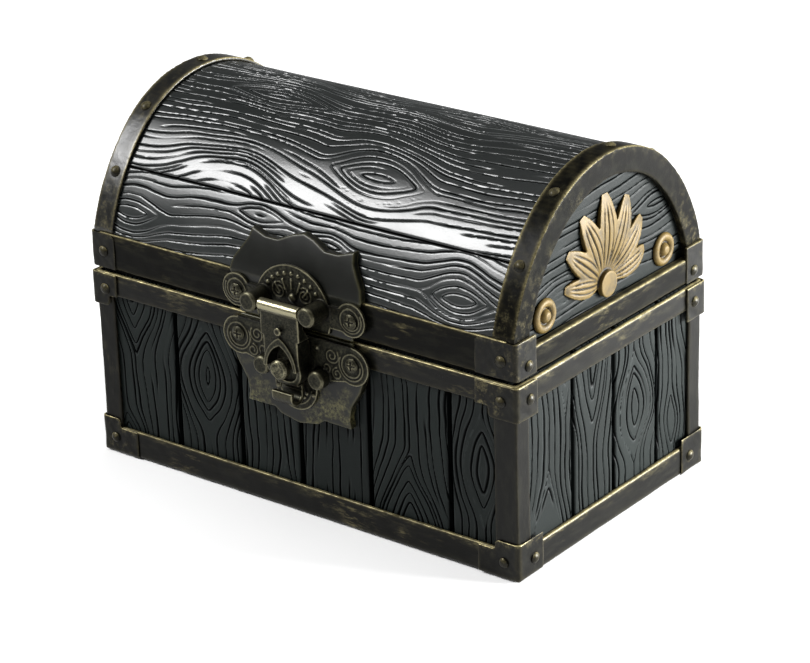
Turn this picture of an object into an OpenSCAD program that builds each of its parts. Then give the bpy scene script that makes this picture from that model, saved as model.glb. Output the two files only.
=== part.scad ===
// Vaulted keepsake chest with a planked case, a barrel lid on two back hinges and a front latch.
// X runs along the length, the front faces -Y, Z is up, and the origin is the middle of the underside.

/* [Chest] */
// Length over the rim brackets
chest_l = 139.7; // [128:0.1:155]
// Depth over the rim brackets, front to back
chest_d = 85; // [79:0.1:95]
// Height to the top of the stud on the lid's crown
chest_h = 101.6; // [96:0.1:110]
// Height of the case, up to the joint with the lid
seam_h = 53; // [48:0.1:56]
// Gap between the closed lid and the case
seam_gap = 0.3; // [0.2:0.05:0.6]
// Height of the open groove between the case's rim band and the lid's band
seam_groove = 1.2; // [0.6:0.1:1.4]
// Radius of the chest's upright corners
corner_r = 1.2; // [0.8:0.1:2]

/* [Walls] */
// Thickness of the inner walls of case and lid
wall_t = 3; // [2:0.1:4]
// Thickness of the case's floor
floor_t = 4; // [3:0.1:6]
// Distance of the plank faces behind the rim brackets
plank_in = 2; // [1.8:0.1:3]
// Thickness of the case's planks
plank_t = 2; // [1.5:0.1:3]
// Open gap between two planks
plank_gap = 0.3; // [0.2:0.05:0.5]
// Bevel along the planks' outer edges
plank_bevel = 0.6; // [0.3:0.1:1]

/* [Bands and posts] */
// Distance of the bands' faces behind the rim brackets
band_in = 0.7; // [0.6:0.1:1.2]
// Height of the band round the foot
base_band_h = 8; // [6:0.1:10]
// Radius along the chest's bottom edge
foot_r = 1.1; // [0.6:0.1:1.2]
// Height of the band round the case's rim
rim_band_h = 6.5; // [5.6:0.1:9]
// Height of the lid's band at front and back
lid_band_h = 11; // [9:0.1:13]
// Height of the lid's band at the two ends
lid_end_band_h = 7.7; // [7:0.1:8.5]
// Width of the right corner posts on the front and back
post_front_w = 7.4; // [5:0.1:9]
// Width of the left corner posts on the front and back
left_post_w = 6.2; // [5:0.1:9]
// Width of a corner post on the ends
post_end_w = 6; // [4:0.1:8]
// Depth of the posts' waist at half height
post_waist = 0.4; // [0.2:0.05:0.6]

/* [Brackets] */
// Width of the corner brackets on the front and back
bracket_front_w = 13; // [11:0.1:16]
// Width of the left rim and lid brackets on the front and back
left_bracket_w = 9; // [8:0.1:16]
// Width of the rim and lid brackets on the ends
bracket_end_w = 9; // [8:0.1:11]
// Width of the foot brackets on the ends
foot_bracket_end_w = 11; // [9:0.1:13]
// Distance of the foot brackets' faces behind the rim brackets
foot_bracket_in = 0.25; // [0.1:0.05:0.4]
// Distance of the lid brackets' faces behind the rim brackets
lid_bracket_in = 0.35; // [0.1:0.05:0.4]
// Reach of the rim brackets below their band
rim_neck_h = 3; // [2:0.1:5]
// Reach of the foot brackets above their band
foot_neck_h = 2.6; // [1.5:0.1:4]
// Radius of the brackets' rounded corners
scallop_r = 1.4; // [0.8:0.1:1.4]
// Cut-off corner of the lid brackets
lid_bracket_cut = 1.2; // [0.6:0.1:2]

/* [Rivets and studs] */
// Radius of a bracket rivet's head
rivet_r = 1.65; // [1.2:0.05:2.2]
// Height of a bracket rivet's head
rivet_h = 0.9; // [0.5:0.05:1.2]
// Radius of a hoop stud's head
stud_r = 1.75; // [1.2:0.05:2.4]
// Height of a hoop stud's head
stud_h = 1; // [0.5:0.05:1.4]
// Radius of the rivets' and studs' shanks
shank_r = 0.7; // [0.5:0.05:0.9]
// Distance of the bracket rivets from the chest's upright corners, on the front and back
rivet_front_off = 5; // [4:0.1:6.5]
// Distance of the rim and lid brackets' rivets from the chest's upright corners, on the ends
rivet_end_off = 5.6; // [4.5:0.1:6.5]
// Distance of the foot brackets' rivets from the chest's upright corners, on the ends
foot_rivet_end_off = 7; // [4.5:0.1:8]

/* [Lid] */
// Width of a hoop on the vault
hoop_w = 6.65; // [5:0.05:9]
// Thickness of a hoop on the vault
hoop_t = 1; // [0.7:0.1:1.6]
// Width of a hoop's flange on the end of the lid
flange_w = 6.8; // [5:0.1:10]
// Distance of the flange's face behind the rim brackets
flange_in = 1.4; // [1:0.1:2]
// Thickness of the flange, which sets the depth of the end panel
flange_t = 2; // [1.2:0.1:3]
// Thickness of the vault's boards
board_t = 2.2; // [1.6:0.1:3]
// Thickness of the arched end panels
panel_t = 2; // [1.5:0.1:3]

/* [Ornament] */
// Height of the ornament's relief over the end panel
relief_h = 1.7; // [1:0.1:1.9]
// Length of the middle petal, as a share of the end panel's height
petal_share = 0.74; // [0.5:0.005:0.78]
// Width of the middle petal
petal_w = 7.6; // [4:0.1:8]
// Radius of the side scrolls
scroll_r = 4.6; // [3:0.1:4.8]

/* [Latch] */
// Offset of the latch from the middle of the front
latch_x = 1.3; // [-3:0.1:3]
// Distance by which the cast shields stand in front of the rim brackets
shield_out = 0.3; // [0.2:0.05:0.8]
// Half the width of the shields
shield_half_w = 21.5; // [19:0.1:24]
// Height of the upper shield above the joint
shield_up = 24; // [21:0.1:26]
// Depth of the lower shield below the joint
shield_down = 26.6; // [23:0.1:29]
// Thickness of the latch plates
plate_t = 1; // [0.8:0.1:1.5]
// Radius of the latch plates' side lobes
lobe_r = 5.2; // [4.5:0.1:6]
// Distance of the side lobes' centres from the latch's middle
lobe_x = 18.6; // [17:0.1:20]
// Distance of the flap's pin in front of the latch plates
pin_out = 4.8; // [4.4:0.1:6]
// Height of the flap's pin above the joint
pin_up = 7.4; // [6.6:0.1:8.2]
// Radius of the flap's pin
pin_r = 0.8; // [0.6:0.05:1]
// Radial clearance of the pins in what turns on them
pin_clear = 0.05; // [0.02:0.01:0.1]
// Radius of the flap's barrel
barrel_r = 1.6; // [1.4:0.05:2]
// Radius of the lugs that hold the pin
lug_r = 2.7; // [2.3:0.05:3]
// Distance of the lugs' centres from the latch's middle
lug_x = 9.45; // [8.6:0.05:10.5]
// Radius of the two keeper studs on the lower plate
keeper_r = 2.6; // [2:0.05:2.8]
// Height of the keeper studs above the lower plate
keeper_h = 3.2; // [2.4:0.1:4]
// Radius of the knob's head
knob_r = 2.7; // [2:0.05:3]
// Distance of the knob's face in front of the latch plates
knob_out = 6.9; // [6:0.1:8]
// Half the width of the flap at its pin
flap_half_w = 6.2; // [5.6:0.05:6.4]
// Half the width of the flap's curled thumb tab
tab_half_w = 3.3; // [2.5:0.1:4]
// Radius of the latch screws' heads
screw_r = 2.1; // [1.6:0.05:2.5]
// Height of the latch screws' heads
screw_h = 0.7; // [0.4:0.05:1]
// Length of the latch screws under the head
screw_l = 6; // [4:0.1:7]

/* [Back hinges] */
// Distance of each hinge from the middle of the back
hinge_x = 36; // [25:0.5:48]
// Width of a hinge
hinge_w = 16; // [12:0.5:20]
// Thickness of a hinge's leaves
leaf_t = 0.8; // [0.6:0.05:1.1]
// Height of a hinge's leaves
leaf_h = 4.4; // [4:0.1:4.8]
// Radius of a hinge's knuckles
knuckle_r = 1.5; // [1.3:0.05:1.8]
// Radius of a hinge's pin
hinge_pin_r = 0.7; // [0.5:0.05:0.8]
// Radius of the hinge screws' heads
hinge_screw_r = 1.3; // [1:0.05:1.5]
// Height of the hinge screws' heads
hinge_screw_h = 0.4; // [0.2:0.05:0.6]
// Length of the hinge screws under the head
hinge_screw_l = 4.5; // [3:0.1:5.5]

/* [Hidden] */

// Overrun of every cut past the face it opens
over = 1;
// Gap kept between pieces that move past each other
move_gap = 0.3;
$fn = 48;

// Plank joints on the front, as shares of the chest's length from its middle
front_joint_shares = [-0.304, -0.148, -0.004, 0.158, 0.340];
// Plank joints on the right end, as shares of the chest's depth from its middle
end_joint_shares = [-0.188, 0.026, 0.260];

half_l = chest_l / 2;
half_d = chest_d / 2;
wall_in = plank_in + plank_t;
cavity_in = wall_in + wall_t;
lid_z = seam_h + seam_gap;
groove_z = seam_h + seam_groove;
spring_z = lid_z + lid_band_h;
end_band_z = lid_z + lid_end_band_h;
rim_band_z = seam_h - rim_band_h;

// Turn from upright to the hips, where the vault's crown arc meets its haunch arcs
crown_turn = 39.4;
// Turn from upright to level
quarter_turn = 90;
// Slight turn from one arc to the next, which makes each hip one clean edge
hip_turn = 2;
// Turn below the hips down to which the crown's circle clips the section
hip_reach = 6;
// Radius of the crown arc, as a share of the haunch arcs' radius
crown_share = 0.731;
// Place of the joint between two boards on the way from the crown to the springing
board_share = 0.7135;
// Place of the hips on the way from the crown, at 0, to the springing, at 1
hip_share = 0.5;
// Places of the studs along the two hoops on that way
left_stud_shares = [-0.75, -0.43, 0.025, 0.395, 0.725];
right_stud_shares = [-0.72, -0.375, 0.085, 0.46, 0.75];

// The vault is a three-centred arch, found from its springing, its crown and the turns at its hips.
// The lean of the haunches at the springing follows from the two radii's ratio, so that every rise has one
spring_y = half_d - band_in;
rise = chest_h - stud_h - spring_z;
crown_end = crown_turn - hip_turn / 2;
haunch_start = crown_turn + hip_turn / 2;
hip_run = crown_share * sin(crown_end) - sin(haunch_start);
hip_rise = crown_share * (1 - cos(crown_end)) + cos(haunch_start);
chord = sqrt(spring_y * spring_y + rise * rise);
spring_lean = atan2(spring_y, rise) - acos((spring_y * hip_rise - rise * hip_run) / chord);
haunch_sweep = quarter_turn - spring_lean - haunch_start;
haunch_r = spring_y / (hip_run + cos(spring_lean));
crown_r = crown_share * haunch_r;
crown_z = spring_z + rise - crown_r;
haunch_y = spring_y - haunch_r * cos(spring_lean);
haunch_z = spring_z - haunch_r * sin(spring_lean);

panel_in = flange_in + flange_t;
lid_end_in = panel_in + panel_t;
board_in = hoop_t;
lid_wall_in = hoop_t + board_t;
lid_cavity_in = lid_wall_in + wall_t;

shield_y = half_d + shield_out;
plate_y = shield_y + plate_t;
pin_y = plate_y + pin_out;
pin_z = seam_h + pin_up;
lug_wall = 1;
lug_out = pin_out + pin_r + lug_wall;
lug_bevel = 0.5;

hinge_y = half_d - band_in + move_gap + knuckle_r;
hinge_z = seam_h + seam_gap / 2;
leaf_off = knuckle_r + move_gap;

// Outline of the vault at a depth under the hoops' outer face, drawn with Y across and Z up
function haunch_point(turn, depth) =
    [haunch_y + (haunch_r - depth) * sin(turn), haunch_z + (haunch_r - depth) * cos(turn)];
function crown_point(turn, depth) =
    [(crown_r - depth) * sin(turn), crown_z + (crown_r - depth) * cos(turn)];
// Turn from upright of a place on the vault's way from the crown to the springing
function place_turn(share) =
    abs(share) <= hip_share ? share / hip_share * crown_turn
    : sign(share) * (haunch_start + haunch_sweep * (abs(share) - hip_share) / (1 - hip_share));
// Point of the vault whose outward normal is turned from upright, and that has the given depth
function vault_point(turn, depth) =
    abs(turn) <= crown_turn ? crown_point(turn, depth)
    : let (p = haunch_point(abs(turn), depth)) [sign(turn) * p[0], p[1]];

module along_x(x0, x1) {
    translate([x0, 0, 0]) rotate([90, 0, 90]) linear_extrude(x1 - x0) children();
}

module along_y(y0, y1) {
    translate([0, y1, 0]) rotate([90, 0, 0]) linear_extrude(y1 - y0) children();
}

// Copies a corner piece to all four upright corners, the left ones with $left true
module four_corners() {
    for (sx = [0, 1], sy = [0, 1]) {
        $left = sx > 0;
        mirror([sx, 0, 0]) mirror([0, sy, 0]) children();
    }
}

module rounded_rect(w, d, r) {
    square([w - 2 * r, d], center = true);
    square([w, d - 2 * r], center = true);
    for (sx = [-1, 1], sy = [-1, 1]) translate([sx * (w / 2 - r), sy * (d / 2 - r)]) circle(r);
}

// Block in the chest's plan, drawn in from the rim brackets
module block(inset, z0, z1) {
    translate([0, 0, z0])
        linear_extrude(z1 - z0) rounded_rect(chest_l - 2 * inset, chest_d - 2 * inset, corner_r);
}

module plain_block(inset_x, inset_y, z0, z1) {
    translate([inset_x - half_l, inset_y - half_d, z0])
        cube([chest_l - 2 * inset_x, chest_d - 2 * inset_y, z1 - z0]);
}

// Section with a rounded bottom edge
module foot_section(w, h) {
    translate([-w / 2, foot_r]) square([w, h - foot_r]);
    translate([foot_r - w / 2, 0]) square([w - 2 * foot_r, h]);
    for (s = [-1, 1]) translate([s * (w / 2 - foot_r), foot_r]) circle(foot_r);
}

module foot_block(inset, h) {
    intersection() {
        block(inset, 0, h);
        along_x(-half_l, half_l) foot_section(chest_d - 2 * inset, h);
        along_y(-half_d, half_d) foot_section(chest_l - 2 * inset, h);
    }
}

// Section of the lid at a depth under the hoops' outer face, with upright sides down to height z0
module lid_section(depth, z0, side_in = 0) {
    side_y = spring_y - depth - side_in;
    hip_z = crown_point(crown_turn + hip_reach, depth)[1];
    intersection() {
        translate([-side_y, z0]) square([2 * side_y, chest_h - z0]);
        union() {
            translate([0, crown_z]) circle(crown_r - depth, $fn = 96);
            translate([-side_y, z0]) square([2 * side_y, hip_z - z0]);
        }
        translate([haunch_y, haunch_z]) circle(haunch_r - depth, $fn = 96);
        translate([-haunch_y, haunch_z]) circle(haunch_r - depth, $fn = 96);
    }
}

module lid_prism(depth, inset_x, z0) {
    along_x(inset_x - half_l, half_l - inset_x) lid_section(depth, z0);
}

// Domed head on a shank, with its seat at the origin and its head up
module rivet(r, h, shank, shank_radius) {
    ball_r = (r * r + h * h) / (2 * h);
    intersection() {
        translate([0, 0, h - ball_r]) sphere(ball_r);
        cylinder(r = r, h = h);
    }
    translate([0, 0, -shank]) cylinder(r = shank_radius, h = shank);
}

// Heights of the rivets on front and end, as shares of the bands' heights from the joint or the ground
rim_rivet_share = 0.7;
foot_rivet_share = 0.6;
lid_rivet_share = 0.75;
lid_end_rivet_share = 0.5;

// Each row: inset of the bracket's face, height on the front, height on the end, offset on the end
rim_rivet_z = seam_h - rim_band_h * rim_rivet_share;
rim_row = [0, rim_rivet_z, rim_rivet_z, rivet_end_off];
foot_rivet_z = base_band_h * foot_rivet_share;
foot_row = [foot_bracket_in, foot_rivet_z, foot_rivet_z, foot_rivet_end_off];
lid_row = [
    lid_bracket_in, lid_z + lid_end_band_h * lid_rivet_share, lid_z + lid_end_band_h * lid_end_rivet_share,
    rivet_end_off
];

// Places for the two rivets of one corner's bracket
module rivet_places(row) {
    translate([half_l - rivet_front_off, half_d - row[0], row[1]]) rotate([-90, 0, 0]) children();
    translate([half_l - row[0], half_d - row[3], row[2]]) rotate([0, 90, 0]) children();
}

module bracket_rivets(row) {
    four_corners() rivet_places(row) rivet(rivet_r, rivet_h, band_in - row[0] + shank_r, shank_r);
}

module bracket_rivet_holes(row) {
    four_corners() rivet_places(row)
        translate([0, 0, row[0] - band_in - shank_r]) cylinder(r = shank_r, h = band_in + over);
}

// Places on the front of the latch, x from its middle and z from the joint, facing out of the front
module on_front(x, z, y) {
    translate([latch_x + x, -y, seam_h + z]) rotate([90, 0, 0]) children();
}

upper_screw_z = 6.3;
lower_screw_z = -5.6;
lower_lobe_z = -6;
upper_lobe_z = 6.6;

module screw_places(z) {
    for (s = [-1, 1]) on_front(s * lobe_x, z, plate_y) children();
}

module latch_screw_holes() {
    for (z = [upper_screw_z, lower_screw_z])
        screw_places(z) translate([0, 0, -screw_l]) cylinder(r = shank_r + pin_clear, h = screw_l + over);
}

module hinge_places() {
    for (s = [-1, 1]) translate([s * hinge_x, hinge_y, hinge_z]) children();
}

leaf_face_y = half_d - band_in + leaf_t;
hinge_screw_x = hinge_w / 4;

module hinge_screw_places(side) {
    for (s = [-1, 1], t = [-1, 1])
        translate([s * hinge_x + t * hinge_screw_x, leaf_face_y, hinge_z + side * (leaf_off + leaf_h / 2)])
            rotate([-90, 0, 0]) children();
}

module hinge_screw_holes() {
    for (side = [-1, 1]) hinge_screw_places(side)
        translate([0, 0, -hinge_screw_l]) cylinder(r = shank_r + pin_clear, h = hinge_screw_l + over);
}

module case_shell() {
    color("#17191a") difference() {
        plain_block(wall_in, wall_in, 0, seam_h);
        plain_block(cavity_in, cavity_in, floor_t, seam_h + over);
        latch_screw_holes();
        hinge_screw_holes();
    }
}

// Upright boards between the edges listed along X, with their faces at y and bevelled outer edges
module plank_row(edges, y) {
    last = len(edges) - 2;
    for (i = [0 : last]) {
        a = edges[i] + (i > 0 ? plank_gap / 2 : 0);
        b = edges[i + 1] - (i < last ? plank_gap / 2 : 0);
        linear_extrude(seam_h) polygon([
            [a, y - plank_t], [b, y - plank_t], [b, y - plank_bevel],
            [b - plank_bevel, y], [a + plank_bevel, y], [a, y - plank_bevel]
        ]);
    }
}

front_edge = half_l - plank_in;
end_edge = half_d - wall_in;
front_edges = concat([-front_edge], [for (s = front_joint_shares) s * chest_l], [front_edge]);
end_edges = concat([-end_edge], [for (s = end_joint_shares) s * chest_d], [end_edge]);

module front_planks() {
    color("#24282a") difference() {
        mirror([0, 1, 0]) plank_row(front_edges, half_d - plank_in);
        latch_screw_holes();
    }
}

module back_planks() {
    color("#24282a") difference() {
        mirror([1, 0, 0]) plank_row(front_edges, half_d - plank_in);
        hinge_screw_holes();
    }
}

module right_planks() {
    color("#2b2f31") mirror([0, 1, 0]) rotate([0, 0, -90]) plank_row(end_edges, half_l - plank_in);
}

module left_planks() {
    color("#2b2f31") rotate([0, 0, 90]) plank_row(end_edges, half_l - plank_in);
}

post_h = rim_band_z - base_band_h;
// Profile of a post's waist, as shares of its height and of the waist's depth
waist_shares = [[0, 0], [0.07, 0.7], [0.35, 1], [0.65, 1], [0.93, 0.7], [1, 0]];

// Upright section of width w, both sides drawn in to a waist
module waist_section(w) {
    side = [for (s = waist_shares) [w / 2 - s[1] * post_waist, base_band_h + s[0] * post_h]];
    polygon(concat(side, [for (i = [len(side) - 1 : -1 : 0]) [-side[i][0], side[i][1]]]));
}

module corner_posts() {
    mid_l = chest_l - 2 * band_in - left_post_w - post_front_w;
    mid_d = chest_d - 2 * (band_in + post_end_w);
    color("#2a2821") difference() {
        intersection() {
            block(band_in, base_band_h, base_band_h + post_h);
            along_x(-half_l, half_l) waist_section(chest_d - 2 * band_in);
            along_y(-half_d, half_d) waist_section(chest_l - 2 * band_in);
        }
        plain_block(plank_in, plank_in, 0, seam_h);
        translate([band_in + left_post_w - half_l, -half_d, 0]) cube([mid_l, chest_d, seam_h]);
        translate([-half_l, -mid_d / 2, 0]) cube([chest_l, mid_d, seam_h]);
    }
}

module base_band() {
    color("#2c2a24") difference() {
        foot_block(band_in, base_band_h);
        plain_block(plank_in, plank_in, -over, base_band_h + over);
        bracket_rivet_holes(foot_row);
    }
}

module rim_band() {
    color("#2c2a24") difference() {
        block(band_in, rim_band_z, seam_h);
        plain_block(plank_in, plank_in, rim_band_z - over, seam_h + over);
        bracket_rivet_holes(rim_row);
        latch_screw_holes();
        hinge_screw_holes();
    }
}

// Outline of a bracket on one face, an arm w by arm_h with a narrower neck of width neck_w below it
module bracket_outline(w, arm_h, neck_w, neck_h) {
    translate([-w, -arm_h]) square([w + over, arm_h]);
    translate([-neck_w, -arm_h - neck_h + scallop_r]) square([neck_w + over, neck_h]);
    translate([scallop_r - neck_w, -arm_h - neck_h]) square([neck_w + over, neck_h]);
    translate([scallop_r - neck_w, scallop_r - arm_h - neck_h]) circle(scallop_r);
}

// Prisms through the corner with positive X and Y, one outline for the back and one for the end
module bracket_prisms(z, flip, end_w) {
    translate([half_l, 0, z]) mirror([0, 0, flip]) along_y(half_d - end_w, half_d + over) children(0);
    translate([0, half_d, z]) mirror([0, 0, flip]) along_x(half_l - band_in, half_l + over) children(1);
}

// Width of the necks on the front and back, as a share of the brackets' width
rim_neck_share = 0.7;
foot_neck_share = 0.6;
end_neck_w = post_end_w + band_in - post_waist;

module rim_brackets() {
    color("#4a4030") four_corners() difference() {
        w = $left ? left_bracket_w : bracket_front_w;
        intersection() {
            bracket_prisms(seam_h, 0, bracket_end_w) {
                bracket_outline(w, rim_band_h, w * rim_neck_share, rim_neck_h);
                bracket_outline(bracket_end_w, rim_band_h, end_neck_w, rim_neck_h);
            }
            block(0, rim_band_z - rim_neck_h, seam_h);
        }
        block(band_in, 0, seam_h + over);
        bracket_rivet_holes(rim_row);
    }
}

module foot_brackets() {
    color("#4a4030") four_corners() difference() {
        neck_w = $left ? left_post_w + band_in : bracket_front_w * foot_neck_share;
        intersection() {
            bracket_prisms(0, 1, foot_bracket_end_w) {
                bracket_outline(bracket_front_w, base_band_h, neck_w, foot_neck_h);
                bracket_outline(foot_bracket_end_w, base_band_h, end_neck_w, foot_neck_h);
            }
            foot_block(foot_bracket_in, base_band_h + foot_neck_h);
        }
        foot_block(band_in, base_band_h + foot_neck_h + over);
        bracket_rivet_holes(foot_row);
    }
}

module case_rivets() {
    color("#6b5b3c") {
        bracket_rivets(rim_row);
        bracket_rivets(foot_row);
    }
}

// Lower half of the crest behind the latch, x from the latch's middle and z from the joint
lower_shield_shares = [
    [0, -1], [0.28, -0.955], [0.38, -0.90], [0.79, -0.905], [0.77, -0.80], [0.80, -0.68],
    [0.94, -0.50], [1, -0.36], [0.86, -0.22], [0.86, 0]
];
upper_shield_shares = [
    [0, 1], [0.16, 0.965], [0.36, 0.885], [0.54, 0.885], [0.77, 0.945], [0.80, 0.83], [0.88, 0.72],
    [0.97, 0.60], [1, 0.48], [0.92, 0.34], [0.86, 0.20], [0.86, 0]
];

// Outline mirrored about its middle from the points of its right half, the first one on the middle
module shield_outline(shares, h) {
    half = [for (s = shares) [s[0] * shield_half_w, s[1] * h]];
    polygon(concat(half, [for (i = [len(half) - 1 : -1 : 1]) [-half[i][0], half[i][1]]]));
}

module lower_shield() {
    color("#242624") difference() {
        translate([latch_x, 0, seam_h])
            along_y(-shield_y, plank_in - half_d) shield_outline(lower_shield_shares, shield_down);
        block(band_in, rim_band_z, seam_h + over);
        latch_screw_holes();
    }
}

module upper_shield() {
    color("#242624") difference() {
        intersection() {
            translate([latch_x, 0, seam_h])
                along_y(-shield_y, 0) shield_outline(upper_shield_shares, shield_up);
            lid_prism(-band_in - shield_out, 0, lid_z);
        }
        lid_prism(board_in, 0, lid_z - over);
        plain_block(panel_in, band_in, 0, spring_z);
        latch_screw_holes();
    }
}

// Lower latch plate, two lobes and a round foot, with the cheeks between them as shares of the radii
module lower_plate_outline() {
    foot_round = 6.9;
    foot_z = -15.4;
    top_z = -0.6;
    cheek_share = 0.9;
    cheek_up_share = 0.4;
    for (s = [-1, 1]) translate([s * lobe_x, lower_lobe_z]) circle(lobe_r);
    translate([-lobe_x, lower_lobe_z - lobe_r / 3])
        square([2 * lobe_x, top_z - lower_lobe_z + lobe_r / 3]);
    translate([0, foot_z]) circle(foot_round);
    for (m = [0, 1]) mirror([m, 0]) polygon([
        [0, foot_z], [foot_round * cheek_share, foot_z + foot_round * cheek_up_share],
        [lobe_x - lobe_r * cheek_up_share, lower_lobe_z - lobe_r * cheek_share],
        [lobe_x, lower_lobe_z], [0, lower_lobe_z]
    ]);
}

keeper_x = 8.95;
keeper_z = -11.1;

module lower_latch_plate() {
    color("#7d7458") difference() {
        union() {
            translate([latch_x, 0, seam_h]) along_y(-plate_y, -shield_y) lower_plate_outline();
            for (s = [-1, 1]) on_front(s * keeper_x, keeper_z, plate_y) {
                cylinder(r = keeper_r, h = keeper_h - lug_bevel);
                translate([0, 0, keeper_h - lug_bevel])
                    cylinder(r1 = keeper_r, r2 = keeper_r - lug_bevel, h = lug_bevel);
            }
        }
        latch_screw_holes();
    }
}

// Upper latch plate, a dome between two lobes that are smaller than the lower plate's
module upper_plate_outline() {
    dome_r = 12.2;
    dome_z = 5.1;
    foot_z = 1.2;
    small_share = 0.88;
    bar_down_share = 0.7;
    bar_share = 1.2;
    difference() {
        union() {
            for (s = [-1, 1]) translate([s * lobe_x, upper_lobe_z]) circle(lobe_r * small_share);
            translate([0, dome_z]) circle(dome_r);
            translate([-lobe_x, upper_lobe_z - lobe_r * bar_down_share])
                square([2 * lobe_x, lobe_r * bar_share]);
        }
        translate([-lobe_x, foot_z - dome_r]) square([2 * lobe_x, dome_r]);
    }
}

module lug() {
    cylinder(r = lug_r, h = lug_out - lug_bevel);
    translate([0, 0, lug_out - lug_bevel]) cylinder(r1 = lug_r, r2 = lug_r - lug_bevel, h = lug_bevel);
}

// Depth of the pin's ends inside the lugs, as a share of the lugs' radius
pin_end_share = 0.7;
pin_half_l = lug_x + lug_r * pin_end_share;

module pin_bore(r, half) {
    translate([latch_x - half, -pin_y, pin_z]) rotate([0, 90, 0]) cylinder(r = r, h = 2 * half);
}

module upper_latch_plate() {
    color("#7d7458") difference() {
        union() {
            translate([latch_x, 0, seam_h]) along_y(-plate_y, -shield_y) upper_plate_outline();
            for (s = [-1, 1]) on_front(s * lug_x, pin_up, plate_y) lug();
        }
        pin_bore(pin_r, pin_half_l);
        latch_screw_holes();
    }
}

module latch_pin() {
    color("#8a8064") pin_bore(pin_r, pin_half_l);
}

module latch_screws(z) {
    screw_places(z) rivet(screw_r, screw_h, screw_l, shank_r);
}

module upper_latch_screws() {
    color("#8a8064") latch_screws(upper_screw_z);
}

module lower_latch_screws() {
    color("#8a8064") latch_screws(lower_screw_z);
}

// Heights on the flap from the joint, and distances out from the latch plates
knob_z = -9;
window_half_w = 4.2;
window_up = 6.4;
flap_back = move_gap;
flap_floor = 1.9;
flap_front = 5.4;
flap_foot_front = 3;
ridge_w = 1.1;
ridge_h = 0.5;
bow_in = 0.6;
bow_r = flap_half_w - bow_in;
curl_r = 2.7;
curl_t = 1.1;
curl_z = -16.6;
tab_z = -14.2;
shoulder_z = 2.6;
scroll_z = 1.4;

// Round below and pointed above, like a horseshoe arch
module window_outline(grow) {
    w = window_half_w + grow;
    h = window_up + 2 * grow;
    r = (w * w + h * h) / (2 * w);
    circle(w);
    intersection() {
        translate([r - w, 0]) circle(r, $fn = 96);
        translate([w - r, 0]) circle(r, $fn = 96);
        translate([-w, 0]) square([2 * w, h]);
    }
}

module flap_outline() {
    translate([-flap_half_w, shoulder_z - 3 * ridge_w])
        square([2 * flap_half_w, pin_up - shoulder_z + 3 * ridge_w]);
    translate([-bow_r, knob_z]) square([2 * bow_r, shoulder_z - knob_z]);
    translate([0, knob_z]) circle(bow_r);
    translate([-tab_half_w, tab_z]) square([2 * tab_half_w, knob_z - tab_z]);
}

// Side view of the flap, distance out from the plates across and height from the joint up
module flap_side() {
    polygon([
        [flap_back, tab_z], [flap_foot_front, tab_z], [flap_foot_front + ridge_w, knob_z - window_half_w / 2],
        [flap_front - ridge_h / 2, knob_z + window_half_w / 2],
        [flap_front, scroll_z], [flap_front, shoulder_z],
        [pin_out + barrel_r / 2, pin_up], [pin_out - barrel_r / 2, pin_up], [pin_out - barrel_r, shoulder_z],
        [flap_back, scroll_z - 3 * ridge_w]
    ]);
}

module from_plates_side(half) {
    translate([latch_x, 0, 0]) mirror([0, 1, 0])
        translate([0, plate_y, seam_h]) along_x(-half, half) children();
}

module latch_flap() {
    color("#6f674f") difference() {
        union() {
            intersection() {
                from_plates_side(flap_half_w) flap_side();
                translate([latch_x, 0, seam_h]) along_y(-plate_y - 2 * flap_front, -plate_y) flap_outline();
            }
            pin_bore(barrel_r, lug_x - lug_r - move_gap);
            translate([latch_x, 0, seam_h + knob_z])
                along_y(-plate_y - flap_front - ridge_h, -plate_y - flap_foot_front) intersection() {
                    window_outline(ridge_w);
                    translate([-bow_r, 0]) square([2 * bow_r, 3 * window_up]);
                }
            on_front(0, scroll_z, plate_y + flap_foot_front)
                cylinder(r = ridge_w, h = flap_front + 2 * ridge_h - flap_foot_front);
            from_plates_side(tab_half_w) difference() {
                translate([flap_back + curl_r, curl_z]) circle(curl_r);
                translate([flap_back + curl_r, curl_z]) circle(curl_r - curl_t);
                translate([flap_back + curl_t, curl_z + curl_t]) square([2 * curl_r, curl_r]);
            }
            from_plates_side(tab_half_w)
                translate([flap_back, curl_z]) square([curl_t, tab_z - curl_z + curl_t]);
        }
        pin_bore(pin_r + pin_clear, lug_x);
        translate([latch_x, 0, seam_h + knob_z])
            along_y(-plate_y - 2 * flap_front, -plate_y - flap_floor) window_outline(0);
        on_front(0, knob_z, plate_y) cylinder(r = shank_r, h = flap_floor + over);
    }
}

module latch_knob() {
    head_t = 2.2;
    neck_r = 1.5;
    color("#8a8064") on_front(0, knob_z, plate_y) {
        translate([0, 0, flap_back]) cylinder(r = shank_r, h = flap_floor - flap_back);
        translate([0, 0, flap_floor]) cylinder(r = neck_r, h = knob_out - head_t - flap_floor);
        translate([0, 0, knob_out - head_t]) cylinder(r = knob_r, h = head_t - lug_bevel);
        translate([0, 0, knob_out - lug_bevel]) cylinder(r1 = knob_r, r2 = knob_r - lug_bevel, h = lug_bevel);
    }
}

module lid_shell() {
    color("#17191a") difference() {
        lid_prism(lid_wall_in, lid_end_in, lid_z);
        lid_prism(lid_cavity_in, lid_end_in + wall_t, lid_z - over);
        latch_screw_holes();
        hinge_screw_holes();
    }
}

// Open joint between two boards of the vault, with bevelled lips
module board_joint(turn) {
    p = vault_point(turn, board_in);
    translate([-half_l, p[0], p[1]]) rotate([-turn, 0, 0]) {
        translate([0, -plank_gap / 2, -board_t - over]) cube([chest_l, plank_gap, board_t + 2 * over]);
        rotate([45, 0, 0])
            translate([0, -plank_bevel / 2, -plank_bevel / 2]) cube([chest_l, plank_bevel, plank_bevel]);
    }
}

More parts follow.
